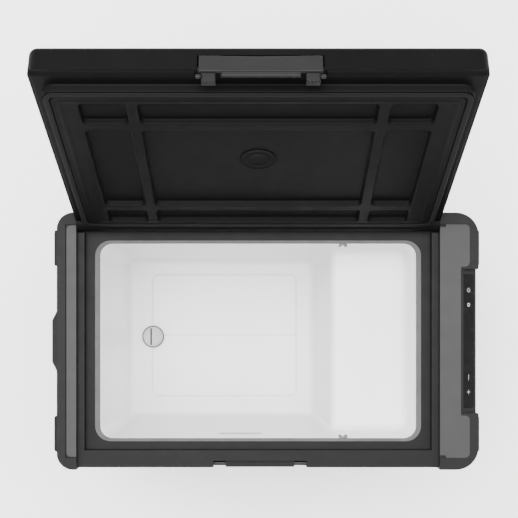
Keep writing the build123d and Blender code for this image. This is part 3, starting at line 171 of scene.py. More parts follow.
def shades(colour, spread):
    """The colour made darker and lighter by the spread."""
    return tuple(c * (1 - spread) for c in colour), tuple(c * (1 + spread) for c in colour)


def grained(name, colour, roughness, grain, depth, spread=0.08, **sockets):
    """Moulded plastic: a pebbled tool grain, soft handling marks in the gloss, colour drift."""
    finish = Finish(name, **sockets)
    place = finish.place()
    cloud = finish.noise(place, 11.0, 4.0)
    rubbed = finish.noise(place, 46.0, 5.0, 0.65)
    pebbles = finish.cells(place, grain)
    fine = finish.noise(place, grain * 1.7, 3.0, 0.6)
    finish.set("Base Color", finish.blend(finish.span(cloud, 0.3, 0.7), *shades(colour, spread)))
    worn = rubbed * 0.6 + cloud * 0.4
    finish.set("Roughness", finish.span(worn, 0.35, 0.65, roughness - 0.06, roughness + 0.07))
    finish.relief(pebbles * 0.6 + fine * 0.4, depth)
    return finish.material


def smooth_moulding(name, colour, roughness, waves, **sockets):
    """Vacuum-formed or polished plastic: long shallow waves and faint scuffs."""
    finish = Finish(name, **sockets)
    place = finish.place()
    slow = finish.noise(place, 6.0, 3.0)
    peel = finish.noise(place, 240.0, 2.0)
    scuffs = finish.noise(place, 70.0, 6.0, 0.7)
    finish.set("Base Color", finish.blend(finish.span(slow, 0.3, 0.7), *shades(colour, 0.018)))
    finish.set("Roughness", finish.span(scuffs, 0.4, 0.68, roughness, roughness + 0.1))
    finish.relief(slow * 0.7 + peel * 0.3, waves)
    return finish.material


def pressed_liner_painted_shade(name, colour, roughness, waves):
    """The liner's skin, with the line of a raised panel and a crease pressed into its floor and
    darkened as painted shade.

    The panel's line lies where |max(|p - centre| - core, 0)| equals the corner radius, and the
    crease where y equals crease_y.
    """
    finish = Finish(name)
    place = finish.place()
    centre, core, radius, crease_y = (-0.0795, 0.0055, 0.0), (0.1265, 0.1045, 0.0), 0.014, 0.0062
    line_width, crease_width = 0.0026, 0.0012
    flat, nothing = (1.0, 1.0, 0.0), (0.0, 0.0, 0.0)
    steps = (
        ("SUBTRACT", centre), ("MULTIPLY", flat), ("ABSOLUTE", None), ("SUBTRACT", core),
        ("MAXIMUM", nothing),
    )
    across = place
    for operation, vector in steps:
        sockets = {0: across} if vector is None else {0: across, 1: vector}
        across = finish.node("ShaderNodeVectorMath", {"operation": operation}, sockets)
    corner = finish.node("ShaderNodeVectorMath", {"operation": "LENGTH"}, {0: across}, "Value")
    y = finish.node("ShaderNodeSeparateXYZ", {}, {0: place}, "Y")
    z = finish.node("ShaderNodeSeparateXYZ", {}, {0: place}, "Z")
    floor = 1.0 - (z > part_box("inner_liner")[0][2] + 0.008)
    inside = 1.0 - (corner > radius)
    outline = finish.span(abs(corner - radius), 0.0, line_width, 1.0, 0.0)
    crease = finish.span(abs(y - crease_y), 0.0, crease_width, 1.0, 0.0)
    lines = (outline + crease * inside * 0.7) * floor
    slow = finish.noise(place, 6.0, 3.0)
    peel = finish.noise(place, 240.0, 2.0)
    scuffs = finish.noise(place, 70.0, 6.0, 0.7)
    # The panel's line and the crease darken the colour as painted shade in the creases; the slow
    # noise is random tone drift.
    drift_and_painted_line_shade = finish.span(slow, 0.3, 0.7, 0.12, 0.0) + lines * 0.5
    finish.set("Base Color", finish.blend(drift_and_painted_line_shade, colour, tuple(c * 0.78 for c in colour)))
    finish.set("Roughness", finish.span(scuffs, 0.4, 0.68, roughness, roughness + 0.1))
    finish.relief(slow * 0.7 + peel * 0.3 - lines * 2.5, waves)
    return finish.material


def rolled_metal(name, colour, roughness, across, depth, **sockets):
    """Drawn or rolled metal: fine lines along one way, with dull patches."""
    finish = Finish(name, Metallic=1.0, **sockets)
    place = finish.place()
    stretched = finish.node("ShaderNodeMapping", {}, {"Vector": place, "Scale": across})
    lines = finish.noise(stretched, 420.0, 4.0, 0.7)
    dull = finish.noise(place, 60.0, 4.0)
    finish.set("Base Color", finish.blend(finish.span(dull, 0.3, 0.7), *shades(colour, 0.1)))
    worn = lines * 0.5 + dull * 0.5
    finish.set("Roughness", finish.span(worn, 0.35, 0.65, roughness - 0.08, roughness + 0.1))
    finish.relief(lines, depth)
    return finish.material


def soft_rubber(name, colour, roughness, depth):
    """Moulded rubber: dull, with a fine skin and pale bloom in patches."""
    finish = Finish(name, IOR=1.2)
    place = finish.place()
    bloom = finish.noise(place, 35.0, 5.0, 0.65)
    skin = finish.noise(place, 1500.0, 3.0)
    bloomed = tuple(c * 1.3 + 0.0005 for c in colour)
    finish.set("Base Color", finish.blend(finish.span(bloom, 0.35, 0.75), colour, bloomed))
    finish.set("Roughness", finish.span(bloom, 0.3, 0.7, roughness, roughness + 0.1))
    finish.relief(skin, depth)
    return finish.material


def open_foam(name, colour):
    """Poured foam: small closed cells and a mottled skin."""
    finish = Finish(name, Specular_IOR_Level=0.2)
    place = finish.place()
    mottle = finish.noise(place, 30.0, 5.0)
    bubbles = finish.cells(place, 900.0)
    finish.set("Base Color", finish.blend(finish.span(mottle, 0.3, 0.7), *shades(colour, 0.12)))
    finish.set("Roughness", finish.span(mottle, 0.3, 0.7, 0.78, 0.92))
    finish.relief(bubbles, 0.0006)
    return finish.material


finishes = {
    "case_shell": grained("case shell", (0.008, 0.008, 0.0085), 0.58, 1400.0, 0.00014, IOR=1.25),
    "rim_plastic": grained(
        "rim plastic", (0.0078, 0.0078, 0.0081), 0.55, 1700.0, 0.00010, IOR=1.2
    ),
    "cap_plastic": grained(
        "end cap plastic", (0.0105, 0.01055, 0.0108), 0.58, 1300.0, 0.00015, IOR=1.2
    ),
    "strip_plastic": grained(
        "trim strip plastic", (0.029, 0.0291, 0.0296), 0.52, 1700.0, 0.00009, IOR=1.28
    ),
    "seal_strip": soft_rubber("mouth seal", (0.072, 0.072, 0.073), 0.6, 0.00005),
    "liner_plastic": pressed_liner_painted_shade("white liner", (0.83, 0.832, 0.832), 0.3, 0.00022),
    "plug_plastic": smooth_moulding("drain plug plastic", (0.44, 0.445, 0.445), 0.32, 0.0003),
    "lens_plastic": smooth_moulding(
        "light lens", (0.40, 0.41, 0.405), 0.35, 0.0001, Transmission_Weight=0.35
    ),
    "lid_plastic": grained(
        "lid plastic", (0.0034, 0.0034, 0.0036), 0.5, 1500.0, 0.00012, IOR=1.13
    ),
    "gasket_rubber": soft_rubber("lid gasket", (0.0045, 0.0045, 0.0047), 0.62, 0.00005),
    "latch_plastic": grained(
        "latch plastic", (0.0112, 0.0112, 0.0116), 0.5, 1800.0, 0.00008, IOR=1.22
    ),
    "panel_glass": smooth_moulding(
        "panel glass", (0.0035, 0.0035, 0.004), 0.2, 0.00008, Specular_IOR_Level=0.15
    ),
    "foot_rubber": soft_rubber("foot rubber", (0.022, 0.022, 0.022), 0.75, 0.0001),
    "guide_plastic": grained("guide plastic", (0.07, 0.07, 0.07), 0.42, 1500.0, 0.0001),
    "steel": rolled_metal("plated steel", (0.50, 0.50, 0.51), 0.34, (1.0, 0.1, 1.0), 0.00005),
    "copper": rolled_metal("copper pipe", (0.75, 0.40, 0.26), 0.28, (0.15, 1.0, 1.0), 0.00004),
    "aluminium": rolled_metal("aluminium", (0.72, 0.73, 0.75), 0.32, (1.0, 1.0, 0.1), 0.00004),
    "compressor_paint": smooth_moulding("compressor paint", (0.012, 0.012, 0.013), 0.35, 0.0005),
    "black_plastic": grained("black fittings", (0.022, 0.022, 0.023), 0.45, 1500.0, 0.0001),
    "board": smooth_moulding("circuit board", (0.02, 0.13, 0.05), 0.4, 0.0001),
    "foam": open_foam("foam", (0.78, 0.68, 0.42)),
}

finishes["dark_steel"] = rolled_metal(
    "blackened steel", (0.035, 0.035, 0.036), 0.42, (0.1, 1.0, 1.0), 0.00003
)
own_finish = dict.fromkeys(("latch_pins", "latch_springs", "latch_keepers"), "dark_steel")
for name, node in nodes.items():
    node.data.materials.clear()
    node.data.materials.append(finishes[own_finish.get(name, node_slot[name])])


# ---- Surfaces ----
def grid_faces(rows, columns, close_rows=False, close_columns=False):
    """Quads over a grid of points, wound to face along (down the rows) x (along the columns)."""
    down = np.arange(rows if close_rows else rows - 1)[:, None]
    along = np.arange(columns if close_columns else columns - 1)[None, :]
    here, below = down * columns, (down + 1) % rows * columns
    beside = (along + 1) % columns
    corners = [here + along, below + along, below + beside, here + beside]
    return np.stack(corners, axis=-1).reshape(-1, 4)


def joined(*parts):
    """Several (points, faces) pairs as one, face numbers moved past the points before them."""
    points, faces, count = [], [], 0
    for part_points, part_faces in parts:
        points.append(part_points.reshape(-1, 3))
        listed = np.asarray(part_faces, dtype=object).tolist()
        faces += [[corner + count for corner in face] for face in listed]
        count += len(points[-1])
    return np.concatenate(points), faces


def add_mesh(name, points, faces, finish, smooth=True):
    """Put points and faces into a new object at the origin and give it its finish."""
    mesh = bpy.data.meshes.new(name)
    mesh.from_pydata(points.reshape(-1, 3).tolist(), [], [list(face) for face in faces])
    shape = bmesh.new()
    shape.from_mesh(mesh)
    bmesh.ops.remove_doubles(shape, verts=shape.verts, dist=1e-7)
    shape.to_mesh(mesh)
    shape.free()
    mesh.polygons.foreach_set("use_smooth", [smooth] * len(mesh.polygons))
    piece = bpy.data.objects.new(name, mesh)
    bpy.context.scene.collection.objects.link(piece)
    mesh.materials.append(finish)
    return piece


def fitted(piece, body, slot, *replaced):
    """Let the piece ride on its body and stand for the nodes it replaces; the slot is not used."""
    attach(piece, body)
    if replaced:
        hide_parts(*replaced)
    return piece


def evened(piece):
    """Shade flat faces flat and let the narrow rounds between them carry the turn."""
    weigh = piece.modifiers.new("even shading", "WEIGHTED_NORMAL")
    weigh.weight = 80
    return piece


def softened(name, width, segments=2):
    """A copy of a node with its sharp edges rounded by the width, standing for that node."""
    source = nodes[name]
    mesh = source.data.copy()
    shape = bmesh.new()
    shape.from_mesh(mesh)
    bmesh.ops.remove_doubles(shape, verts=shape.verts, dist=2e-6)
    level = math.radians(0.6)
    bmesh.ops.dissolve_limit(shape, angle_limit=level, verts=shape.verts, edges=shape.edges)
    shape.to_mesh(mesh)
    shape.free()
    mesh.polygons.foreach_set("use_smooth", [True] * len(mesh.polygons))
    piece = bpy.data.objects.new(name + "_soft", mesh)
    bpy.context.scene.collection.objects.link(piece)
    edge = piece.modifiers.new("rounded edges", "BEVEL")
    edge.width = width
    edge.segments = segments
    edge.limit_method = "ANGLE"
    edge.angle_limit = math.radians(32.0)
    edge.miter_outer = "MITER_ARC"
    evened(piece)
    return fitted(piece, source["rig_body"], node_slot[name], name)


def s_curve(distance, width):
    """0 well inside an edge, 1 well outside it, with an S-shaped rise as wide as the width."""
    rise = np.clip(distance / width + 0.5, 0.0, 1.0)
    return rise * rise * (3.0 - 2.0 * rise)


def edge_distance(x, y, box, radius):
    """Distance to a rounded rectangle (x0, x1, y0, y1), below 0 inside.

    It is |max(|p - centre| - half, 0)| + min(max of |p - centre| - half, 0) - radius.
    """
    half_x, half_y = (box[1] - box[0]) / 2 - radius, (box[3] - box[2]) / 2 - radius
    over_x = np.abs(x - (box[0] + box[1]) / 2) - half_x
    over_y = np.abs(y - (box[2] + box[3]) / 2) - half_y
    outside = np.hypot(np.maximum(over_x, 0.0), np.maximum(over_y, 0.0))
    return outside + np.minimum(np.maximum(over_x, over_y), 0.0) - radius


def rounded_loop(box, radius, steps=9):
    """Four quarter circles round a rectangle, counter-clockwise, with each point's way out."""
    turn = np.linspace(0.0, np.pi / 2, steps)
    angles = (np.arange(4)[:, None] * np.pi / 2 + turn).ravel()
    outward = np.stack([np.cos(angles), np.sin(angles)], axis=-1)
    x = np.array([box[1] - radius, box[0] + radius, box[0] + radius, box[1] - radius])
    y = np.array([box[3] - radius, box[3] - radius, box[2] + radius, box[2] + radius])
    centres = np.repeat(np.stack([x, y], axis=-1), steps, axis=0)
    return centres + outward * radius, outward


def swept(loop, outward, profile):
    """Carry a closed profile of (out, up) pairs round a level loop.

    A point lies at loop + out * outward, and its height is up.
    """
    out, up = profile[:, 0], profile[:, 1]
    points = np.empty((len(loop), len(profile), 3))
    points[..., :2] = loop[:, None, :] + out[None, :, None] * outward[:, None, :]
    points[..., 2] = up[None, :]
    return points, grid_faces(len(loop), len(profile), True, True)


def turned(profile, centre, steps=48):
    """Turn a profile of (radius, height) pairs about a vertical axis: x, y = radius * (cos, sin).

    The profile runs from the middle of the top round to the middle of the underside.
    """
    angle = np.linspace(0.0, 2 * np.pi, steps, endpoint=False)
    radius, height = profile[:, 0], profile[:, 1]
    points = np.empty((steps, len(profile), 3))
    points[..., 0] = centre[0] + np.cos(angle)[:, None] * radius
    points[..., 1] = centre[1] + np.sin(angle)[:, None] * radius
    points[..., 2] = centre[2] + height
    return points, grid_faces(steps, len(profile), True)[:, ::-1]


def slab_between(across, low, high, front, back, rows=14):
    """A plate over x, its edges low(x) and high(x), its face front(x, z), its back flat.

    A row of the face lies at z = low * (1 - part) + high * part, and the back repeats the rows at
    y = back.
    """
    part = np.linspace(0.0, 1.0, rows)[:, None]
    z = low(across)[None, :] * (1 - part) + high(across)[None, :] * part
    x = np.broadcast_to(across, z.shape)
    face = np.stack([x, front(x, z), z], axis=-1)
    rear = np.stack([x, np.full_like(z, back), z], axis=-1)[::-1]
    ring = np.concatenate([face, rear])
    faces = grid_faces(2 * rows, len(across), True)[:, ::-1].tolist()
    columns = len(across)
    left = [row * columns for row in range(2 * rows)]
    faces.append(left[::-1])
    faces.append([corner + columns - 1 for corner in left])
    return ring, faces


# ---- The lid's own frame: pieces are worked out closed, then swung open about the hinge ----
hinge = np.array(joints["lid_hinge"]["pos_m"])
lid_angle = math.radians(joints["lid_hinge"]["range_deg"][1])


def turned_about_hinge(points, angle):
    """Turn points about the hinge line, which runs along x."""
    moved = np.array(points, float)
    y, z = moved[..., 1] - hinge[1], moved[..., 2] - hinge[2]
    moved[..., 1] = hinge[1] + y * math.cos(angle) - z * math.sin(angle)
    moved[..., 2] = hinge[2] + y * math.sin(angle) + z * math.cos(angle)
    return moved


def swung(points, faces):
    """Closed-lid points moved to where they are with the lid open."""
    return turned_about_hinge(points, -lid_angle), faces


def closed_box(name):
    """A lid node's lowest and highest corners with the lid closed."""
    corners = np.array([vertex.co for vertex in nodes[name].data.vertices])
    back = turned_about_hinge(corners, lid_angle)
    return back.min(axis=0), back.max(axis=0)


def studio():
    """Pale floor, soft overhead light, and the camera straight above the open cooler."""
    white = (1.0, 1.0, 1.0)
    floor_finish = Finish(
        "studio floor", Base_Color=(0.93, 0.93, 0.93), Roughness=0.9, Specular_IOR_Level=0.2,
        Emission_Color=white, Emission_Strength=0.9,
    )
    corners = np.array([(-6.0, -6.0, 0.0), (6.0, -6.0, 0.0), (6.0, 6.0, 0.0), (-6.0, 6.0, 0.0)])
    floor = add_mesh("studio_floor", corners, [(0, 1, 2, 3)], floor_finish.material)
    world = bpy.data.worlds.new("studio")
    bpy.context.scene.world = world
    world.use_nodes = True
    sky = world.node_tree.nodes["Background"].inputs
    sky["Color"].default_value = (*white, 1.0)
    sky["Strength"].default_value = 0.75
    lamps = (
        ("overhead", (-0.25, 0.35, 2.9), 2.4, 215.0),
        ("window_side", (-2.2, 1.0, 1.9), 1.8, 60.0),
        ("panel_side", (2.1, 0.6, 2.0), 1.6, 50.0),
    )
    for name, place, size, watts in lamps:
        lamp = bpy.data.lights.new(name, "AREA")
        lamp.shape = "SQUARE"
        lamp.size = size
        lamp.energy = watts
        holder = bpy.data.objects.new(name, lamp)
        holder.location = place
        aim = math.atan2(-place[1], -place[0])
        reach = math.hypot(place[0], place[1])
        holder.rotation_euler = (0.0, math.atan2(reach, place[2] - 0.3), aim + math.pi)
        bpy.context.scene.collection.objects.link(holder)
    lens = bpy.data.cameras.new("above")
    lens.sensor_width = 36.0
    lens.lens = 69.4
    lens.shift_x = 0.004
    lens.shift_y = 0.127
    camera = bpy.data.objects.new("above", lens)
    camera.location = (-0.0158, 0.026, 1.997)
    bpy.context.scene.collection.objects.link(camera)
    bpy.context.scene.camera = camera


# ---- Lid ----
def crowded(low, high, edges, pitch):
    """Grid lines from low to high every pitch, crowded on both sides of each edge."""
    beside = np.array([0.3, 0.8, 1.4, 2.2, 3.2, 4.5, 6, 8, 10.5, 14]) / 1000
    near = np.concatenate([-beside[::-1], beside])
    coarse = np.linspace(low, high, int((high - low) / pitch) + 1)
    lines = np.concatenate([coarse, (np.array(edges)[:, None] + near).ravel()])
    lines = np.unique(np.round(lines[(lines >= low) & (lines <= high)], 5))
    return lines[np.concatenate([[True], np.diff(lines) > 0.00025])]


def lid_panel():
    """The lid's inner panel: a height over (x, y), with each step an S curve.

    It steps down at the plug's edge, dips in the gasket's groove and rises into nine pockets.
    """
    low, high = closed_box("lid_inner_panel")
    seal_low, seal_high = closed_box("lid_gasket")
    plug_z, back_z = low[2], high[2]
    base_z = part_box("rim_frame")[1][2] + 0.0005
    mid = (low[0] + high[0]) / 2
    grow = 0.0013
    slack = 0.0003
    left, right, front, back = seal_low[0], seal_high[0], seal_low[1], seal_high[1]
    plug = (left - grow, right + grow, front - grow - 0.0002, back + grow)
    ring = (left - slack, right + slack, front - slack, back + slack)
    width = 0.0085
    inner = (ring[0] + width, ring[1] - width, ring[2] + width, ring[3] - width)
    columns = ((-0.231, -0.171), (-0.155, 0.155), (0.171, 0.231))
    rows = ((-0.149, -0.105), (-0.090, 0.106), (0.120, 0.156))
    column_edges = [mid + edge for pair in columns for edge in pair]
    row_edges = [edge for pair in rows for edge in pair]
    pitch = 0.012
    x_lines = crowded(low[0], high[0], [*plug[:2], *inner[:2], *column_edges], pitch)
    y_lines = crowded(low[1], high[1], [*plug[2:], *inner[2:], *row_edges], pitch)
    x, y = np.meshgrid(x_lines, y_lines, indexing="ij")
    past_plug = edge_distance(x, y, plug, 0.018)
    past_ring = edge_distance(x, y, ring, 0.017)
    past_inner = edge_distance(x, y, inner, 0.010)
    height = plug_z + (base_z - plug_z) * s_curve(past_plug, 0.0016)
    groove = (1 - s_curve(past_ring, 0.0006)) * s_curve(past_inner, 0.0012)
    groove_depth, pocket_depth, bead_height = 0.0052, 0.008, 0.0006
    height += groove_depth * groove
    for x0, x1 in columns:
        for y0, y1 in rows:
            pocket = edge_distance(x, y, (mid + x0, mid + x1, y0, y1), 0.007)
            height += pocket_depth * (1 - s_curve(pocket, 0.0030))
    height -= bead_height * np.exp(-((past_inner + 0.010) / 0.0016) ** 2)
    face = np.stack([x, y, height], axis=-1)
    rim = np.pad(face, ((1, 1), (1, 1), (0, 0)), mode="edge")
    rim[[0, -1], :, 2] = back_z
    rim[:, [0, -1], 2] = back_z
    down, along = rim.shape[:2]
    number = np.arange(down * along).reshape(down, along)
    border = np.concatenate([number[0, :-1], number[:-1, -1], number[-1, :0:-1], number[:0:-1, 0]])
    faces = grid_faces(down, along)[:, ::-1].tolist() + [border[::-1].tolist()]
    panel = add_mesh("lid_panel", *swung(rim, faces), finishes["lid_plastic"])
    return fitted(panel, "lid", "lid_plastic", "lid_inner_panel")


def lid_filling():
    """The lid's foam: a slab with rounded corners on the inner panel's back.

    Its upper edge is a quarter round: a ring is the rounded rectangle moved in by r * (1 - cos a),
    at the height shoulder + r * sin a.
    """
    low, high = closed_box("lid_foam")
    latch_room = 0.035  # the foam stops behind the latch's recess
    round_over = 0.007
    foot, shoulder = closed_box("lid_inner_panel")[1][2] + 0.0001, high[2] - round_over
    turn = np.linspace(0.0, np.pi / 2, 8)
    inset = np.concatenate([[0.0], round_over * (1 - np.cos(turn))])
    heights = np.concatenate([[foot], shoulder + round_over * np.sin(turn)])
    loop, outward = rounded_loop((low[0], high[0], low[1] + latch_room, high[1]), 0.0091)
    rings = np.empty((len(inset), len(loop), 3))
    rings[..., :2] = loop - inset[:, None, None] * outward
    rings[..., 2] = heights[:, None]
    number = np.arange(rings.shape[0] * rings.shape[1]).reshape(rings.shape[:2])
    faces = grid_faces(*number.shape, False, True)[:, ::-1].tolist()
    faces += [number[0][::-1].tolist(), number[-1].tolist()]
    filling = add_mesh("lid_filling", *swung(rings, faces), finishes["foam"])
    return fitted(filling, "lid", "foam", "lid_foam")


def lid_seal():
    """The lid's gasket: a bellows profile, pad, neck, fold, neck, head, carried round its groove."""
    low, high = closed_box("lid_gasket")
    heights = np.array([0.0, 0.25, 0.8, 1.7, 2.2, 2.7, 3.1, 3.6, 4.1, 4.6, 5.2, 5.95]) / 1000
    halves = np.array([2.9, 3.6, 3.9, 3.8, 3.0, 2.2, 2.6, 3.5, 3.3, 2.4, 2.6, 3.2]) / 1000
    middle = -0.00395
    profile = np.concatenate([
        np.stack([middle + halves, low[2] + heights], axis=-1),
        np.stack([middle - halves, low[2] + heights], axis=-1)[::-1],
    ])
    loop, outward = rounded_loop((low[0], high[0], low[1], high[1]), 0.0167, 11)
    points, faces = swept(loop, outward, profile)
    seal = add_mesh("lid_seal", *swung(points, faces), finishes["gasket_rubber"])
    return fitted(seal, "lid", "gasket_rubber", "lid_gasket")


def port_cap():
    """The round cap over the foam filling hole: a dished disc with a rim and an inner ring."""
    low, high = closed_box("foam_port_cap")
    centre = ((low[0] + high[0]) / 2, (low[1] + high[1]) / 2, low[2])
    rim = (high[0] - low[0]) / 2 * 1000
    dish = [(0.0, 0.9), (6.0, 0.85), (14.0, 0.6), (15.0, 0.25), (16.4, 0.2), (17.4, 0.6)]
    lip = [(rim - 3.2, 0.55), (rim - 2.2, 0.1), (rim - 0.7, 0.0), (rim, 0.4), (rim, 1.4)]
    profile = np.array([*dish, *lip, (0.0, 1.45)]) / 1000
    points, faces = turned(profile, centre, 64)
    cap = add_mesh("port_cap", *swung(points, np.asarray(faces)[:, ::-1]), finishes["port_plastic"])
    return fitted(cap, "lid", "lid_plastic", "foam_port_cap")


# ---- Latch ----
def latch_form():
    """The latch: a plate with crossing facets, a grip bar and two legs.

    Each leg has a toothed end, a hook toe, a round boss on the pin and a small side lug.
    """
    low, high = closed_box("latch_handle")
    mid = (low[0] + high[0]) / 2
    half = (high[0] - low[0]) / 2
    top, foot, face_y, toe_y = high[2], low[2], low[1], high[1]
    tall = top - foot
    plate_high, plate_low = top - 0.02 * tall, top - 0.635 * tall
    bar_foot, leg_end = top - 0.80 * tall, top - 0.955 * tall
    leg_in, leg_out = 0.056, 0.0735
    leg_front, leg_back = face_y + 0.0033, face_y + 0.0085
    pin_y, pin_z = face_y + 0.0088, top - 0.0155

    def reach(x):
        """How far x is from the middle, 0 to 1 where the creases begin."""
        return np.clip(np.abs(x - mid) / (0.76 * half), 0.0, 1.0)

    def plate_top(x):
        return plate_high + 0.0015 * (1 - reach(x))

    def plate_foot(x):
        return np.full_like(x, plate_low)

    def plate_face(x, z):
        """Flat wings with a hollow between them.

        Above the falling crease the face leans back, below the rising one it comes out again.
        """
        upper = plate_high - 0.155 * tall * (1 - reach(x))
        rise = 0.10 * tall + 0.11 * tall * (1 - reach(x) / 0.78)
        middle = 1 - s_curve(np.abs(x - mid) - 0.645 * half, 0.0012)
        hollow = 0.0012 * (1 - reach(x)) ** 0.5 * middle
        out = np.clip((plate_low + rise - z) / rise, 0.0, 1.0)
        lean = 0.25 * np.maximum(z - upper, 0.0) + hollow * (1 - out)
        edge = np.minimum.reduce([z - plate_foot(x), plate_top(x) - z, half - np.abs(x - mid)])
        return face_y + lean + 0.0007 * (1 - np.clip(edge / 0.0009, 0.0, 1.0)) ** 2

    edge_lines = half - np.array([0.0004, 0.0009])
    across = np.concatenate([np.linspace(-half, half, 71), -edge_lines, edge_lines])
    across = np.unique(across) + mid
    parts = [slab_between(across, plate_foot, plate_top, plate_face, face_y + 0.0040, 22)]
    bar = np.linspace(-0.0495, 0.0495, 41) + mid

    def bar_face(x, z):
        """A shallow round with a crease along it."""
        up = (z - bar_foot) / (plate_low + 0.0008 - bar_foot)
        crease = 0.0005 * np.exp(-((up - 0.62) / 0.08) ** 2)
        return face_y + 0.0004 + 0.0022 * (2 * up - 1) ** 4 + crease

    level = lambda height: (lambda x: np.full_like(x, height))
    bar_head = level(plate_low + 0.0008)
    parts.append(slab_between(bar, level(bar_foot), bar_head, bar_face, face_y + 0.0038, 18))
    for side in (-1, 1):
        leg = np.linspace(leg_in, leg_out, 33) * side + mid
        leg = np.sort(leg)
        inner, outer = leg[0], leg[-1]

        def leg_foot(x, inner=inner, outer=outer):
            """Four blunt teeth along the leg's end."""
            turns = 8 * np.pi * (x - inner) / (outer - inner)
            return leg_end + 0.0014 * (0.5 - 0.5 * np.cos(turns))

        def leg_face(x, z, inner=inner, outer=outer):
            edge = np.minimum.reduce([x - inner, outer - x, z - leg_end])
            return leg_front + 0.0009 * (1 - np.clip(edge / 0.0012, 0.0, 1.0)) ** 2

        def toe_face(x, z):
            return np.full_like(z, leg_back - 0.0002)

        parts.append(slab_between(leg, leg_foot, level(plate_low + 0.003), leg_face, leg_back, 30))
        toe_foot, toe_head = level(leg_end + 0.0013), level(foot + 0.0035)
        parts.append(slab_between(leg, toe_foot, toe_head, toe_face, toe_y, 4))
        turn = np.linspace(0.0, 2 * np.pi, 32, endpoint=False)
        reach_x = np.array([inner, inner + 0.0006, outer - 0.0006, outer])
        radius = np.array([0.0044, 0.0050, 0.0050, 0.0044])
        boss = np.stack([
            np.broadcast_to(reach_x[:, None], (4, 32)),
            pin_y + radius[:, None] * np.cos(turn),
            pin_z + radius[:, None] * np.sin(turn),
        ], axis=-1)
        ends = [list(range(32)), list(range(96, 128))[::-1]]
        closed = grid_faces(4, 32, False, True)[:, ::-1].tolist() + [end[::-1] for end in ends]
        parts.append((boss, closed))
        outside = outer if side > 0 else inner
        lug_x = np.sort(outside + side * np.array([-0.0004, 0.0028, 0.0064, 0.0072]))
        lug_radius = np.array([0.0024, 0.0024, 0.0023, 0.0016])[::side]
        parts.append((np.stack([
            np.broadcast_to(lug_x[:, None], (4, 32)),
            leg_front + 0.0001 + lug_radius[:, None] * np.cos(turn),
            foot + 0.0090 + 1.25 * lug_radius[:, None] * np.sin(turn),
        ], axis=-1), closed))
    points, faces = joined(*parts)
    latch = evened(add_mesh("latch_lever", *swung(points, faces), finishes["latch_plastic"]))
    return fitted(latch, "latch", "latch_plastic", "latch_handle")


# ---- Drain plug ----
def drain_plug():
    """The plug: a turned dish with a rounded lip, and a finger bar arched across it; lip and bar are
    dark as painted shade.
    """
    low, high = (np.array(corner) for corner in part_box("drain_plug"))
    rim = (high[0] - low[0]) / 2
    centre = ((low[0] + high[0]) / 2, (low[1] + high[1]) / 2, 0.0)
    top, foot = high[2], low[2]
    stem = 0.0108
    dish = np.array([
        (0.0, top - 0.0030), (rim - 0.0046, top - 0.0030), (rim - 0.0036, top - 0.0026),
        (rim - 0.0030, top - 0.0010), (rim - 0.0022, top - 0.0003), (rim - 0.0012, top - 0.0003),
        (rim - 0.0003, top - 0.0010), (rim, top - 0.0020), (rim, top - 0.0042),
        (stem, top - 0.0043), (stem, foot + 0.001), (stem - 0.001, foot), (0.0, foot),
    ])
    along = np.linspace(-1.0, 1.0, 33)
    round_bar = np.linspace(0.0, 2 * np.pi, 24, endpoint=False)
    reach = rim - 0.0042
    arch = np.sqrt(np.clip(1 - 0.98 * along ** 6, 0.0, 1.0))
    bar = np.empty((33, 24, 3))
    bar[..., 0] = centre[0] - 0.0042 + 0.0016 * np.cos(round_bar)[None, :]
    bar[..., 1] = centre[1] + along[:, None] * reach
    bar[..., 2] = top - 0.0034 + (0.0010 + 0.0020 * arch[:, None]) * np.sin(round_bar)[None, :]
    bar_ends = [list(range(24)), list(range(32 * 24, 33 * 24))[::-1]]
    bar_faces = grid_faces(33, 24, False, True).tolist() + bar_ends
    plug_points, plug_faces = turned(dish, centre, 64)
    # The finger bar is coloured dark grey as painted shade: it stands in for the dark line of shade
    # along the bar.
    grip = add_mesh("drain_cap_bar", bar, bar_faces, finishes["lip_rubber"])
    fitted(grip, "plug", "plug_plastic")
    plug = add_mesh("drain_cap", plug_points, plug_faces, finishes["plug_plastic"])
    fitted(plug, "plug", "plug_plastic", "drain_plug")
    turn = np.linspace(0.0, 2 * np.pi, 12, endpoint=False)
    lip = np.stack([0.0014 * np.cos(turn), top - 0.0014 + 0.0013 * np.sin(turn)], axis=-1)
    circle = np.linspace(0.0, 2 * np.pi, 72, endpoint=False)
    outward = np.stack([np.cos(circle), np.sin(circle)], axis=-1)
    loop = np.array(centre[:2]) + outward * (rim - 0.0006)
    # The lip ring is dark as painted shade: it stands in for the shadowed gap round the plug's edge.
    ring = add_mesh("drain_cap_lip", *swept(loop, outward, lip), finishes["lip_rubber"])
    return fitted(ring, "plug", "gasket_rubber")


# ---- Signs on the touch keys ----
def key_face(name):
    """The middle of a key's outer face, and the panel's across, along and outward directions."""
    press = np.array(joints[name + "_press"]["axis"])
    outward = -press / np.linalg.norm(press)
    corners = np.array([vertex.co for vertex in nodes[name].data.vertices])
    height = corners @ outward
    face = corners[height > height.max() - 1e-5]
    middle = (face.min(axis=0) + face.max(axis=0)) / 2
    along = np.array([0.0, 1.0, 0.0])
    return middle, np.cross(along, outward), along, outward


def ribbon(name, shape_points, faces, finish, body):
    """Lay a flat sign on a key's face; its points are (across, along, layer 0 or 1)."""
    middle, across, along, outward = key_face(name)
    flat = np.asarray(shape_points, float)
    ink_depth = 0.00001 + flat[:, 2:] * 0.00012
    placed = middle + flat[:, :1] * across + flat[:, 1:2] * along + ink_depth * outward
    sign = add_mesh(name + "_sign", placed, faces, finish, False)
    return fitted(sign, body, "panel_glass")


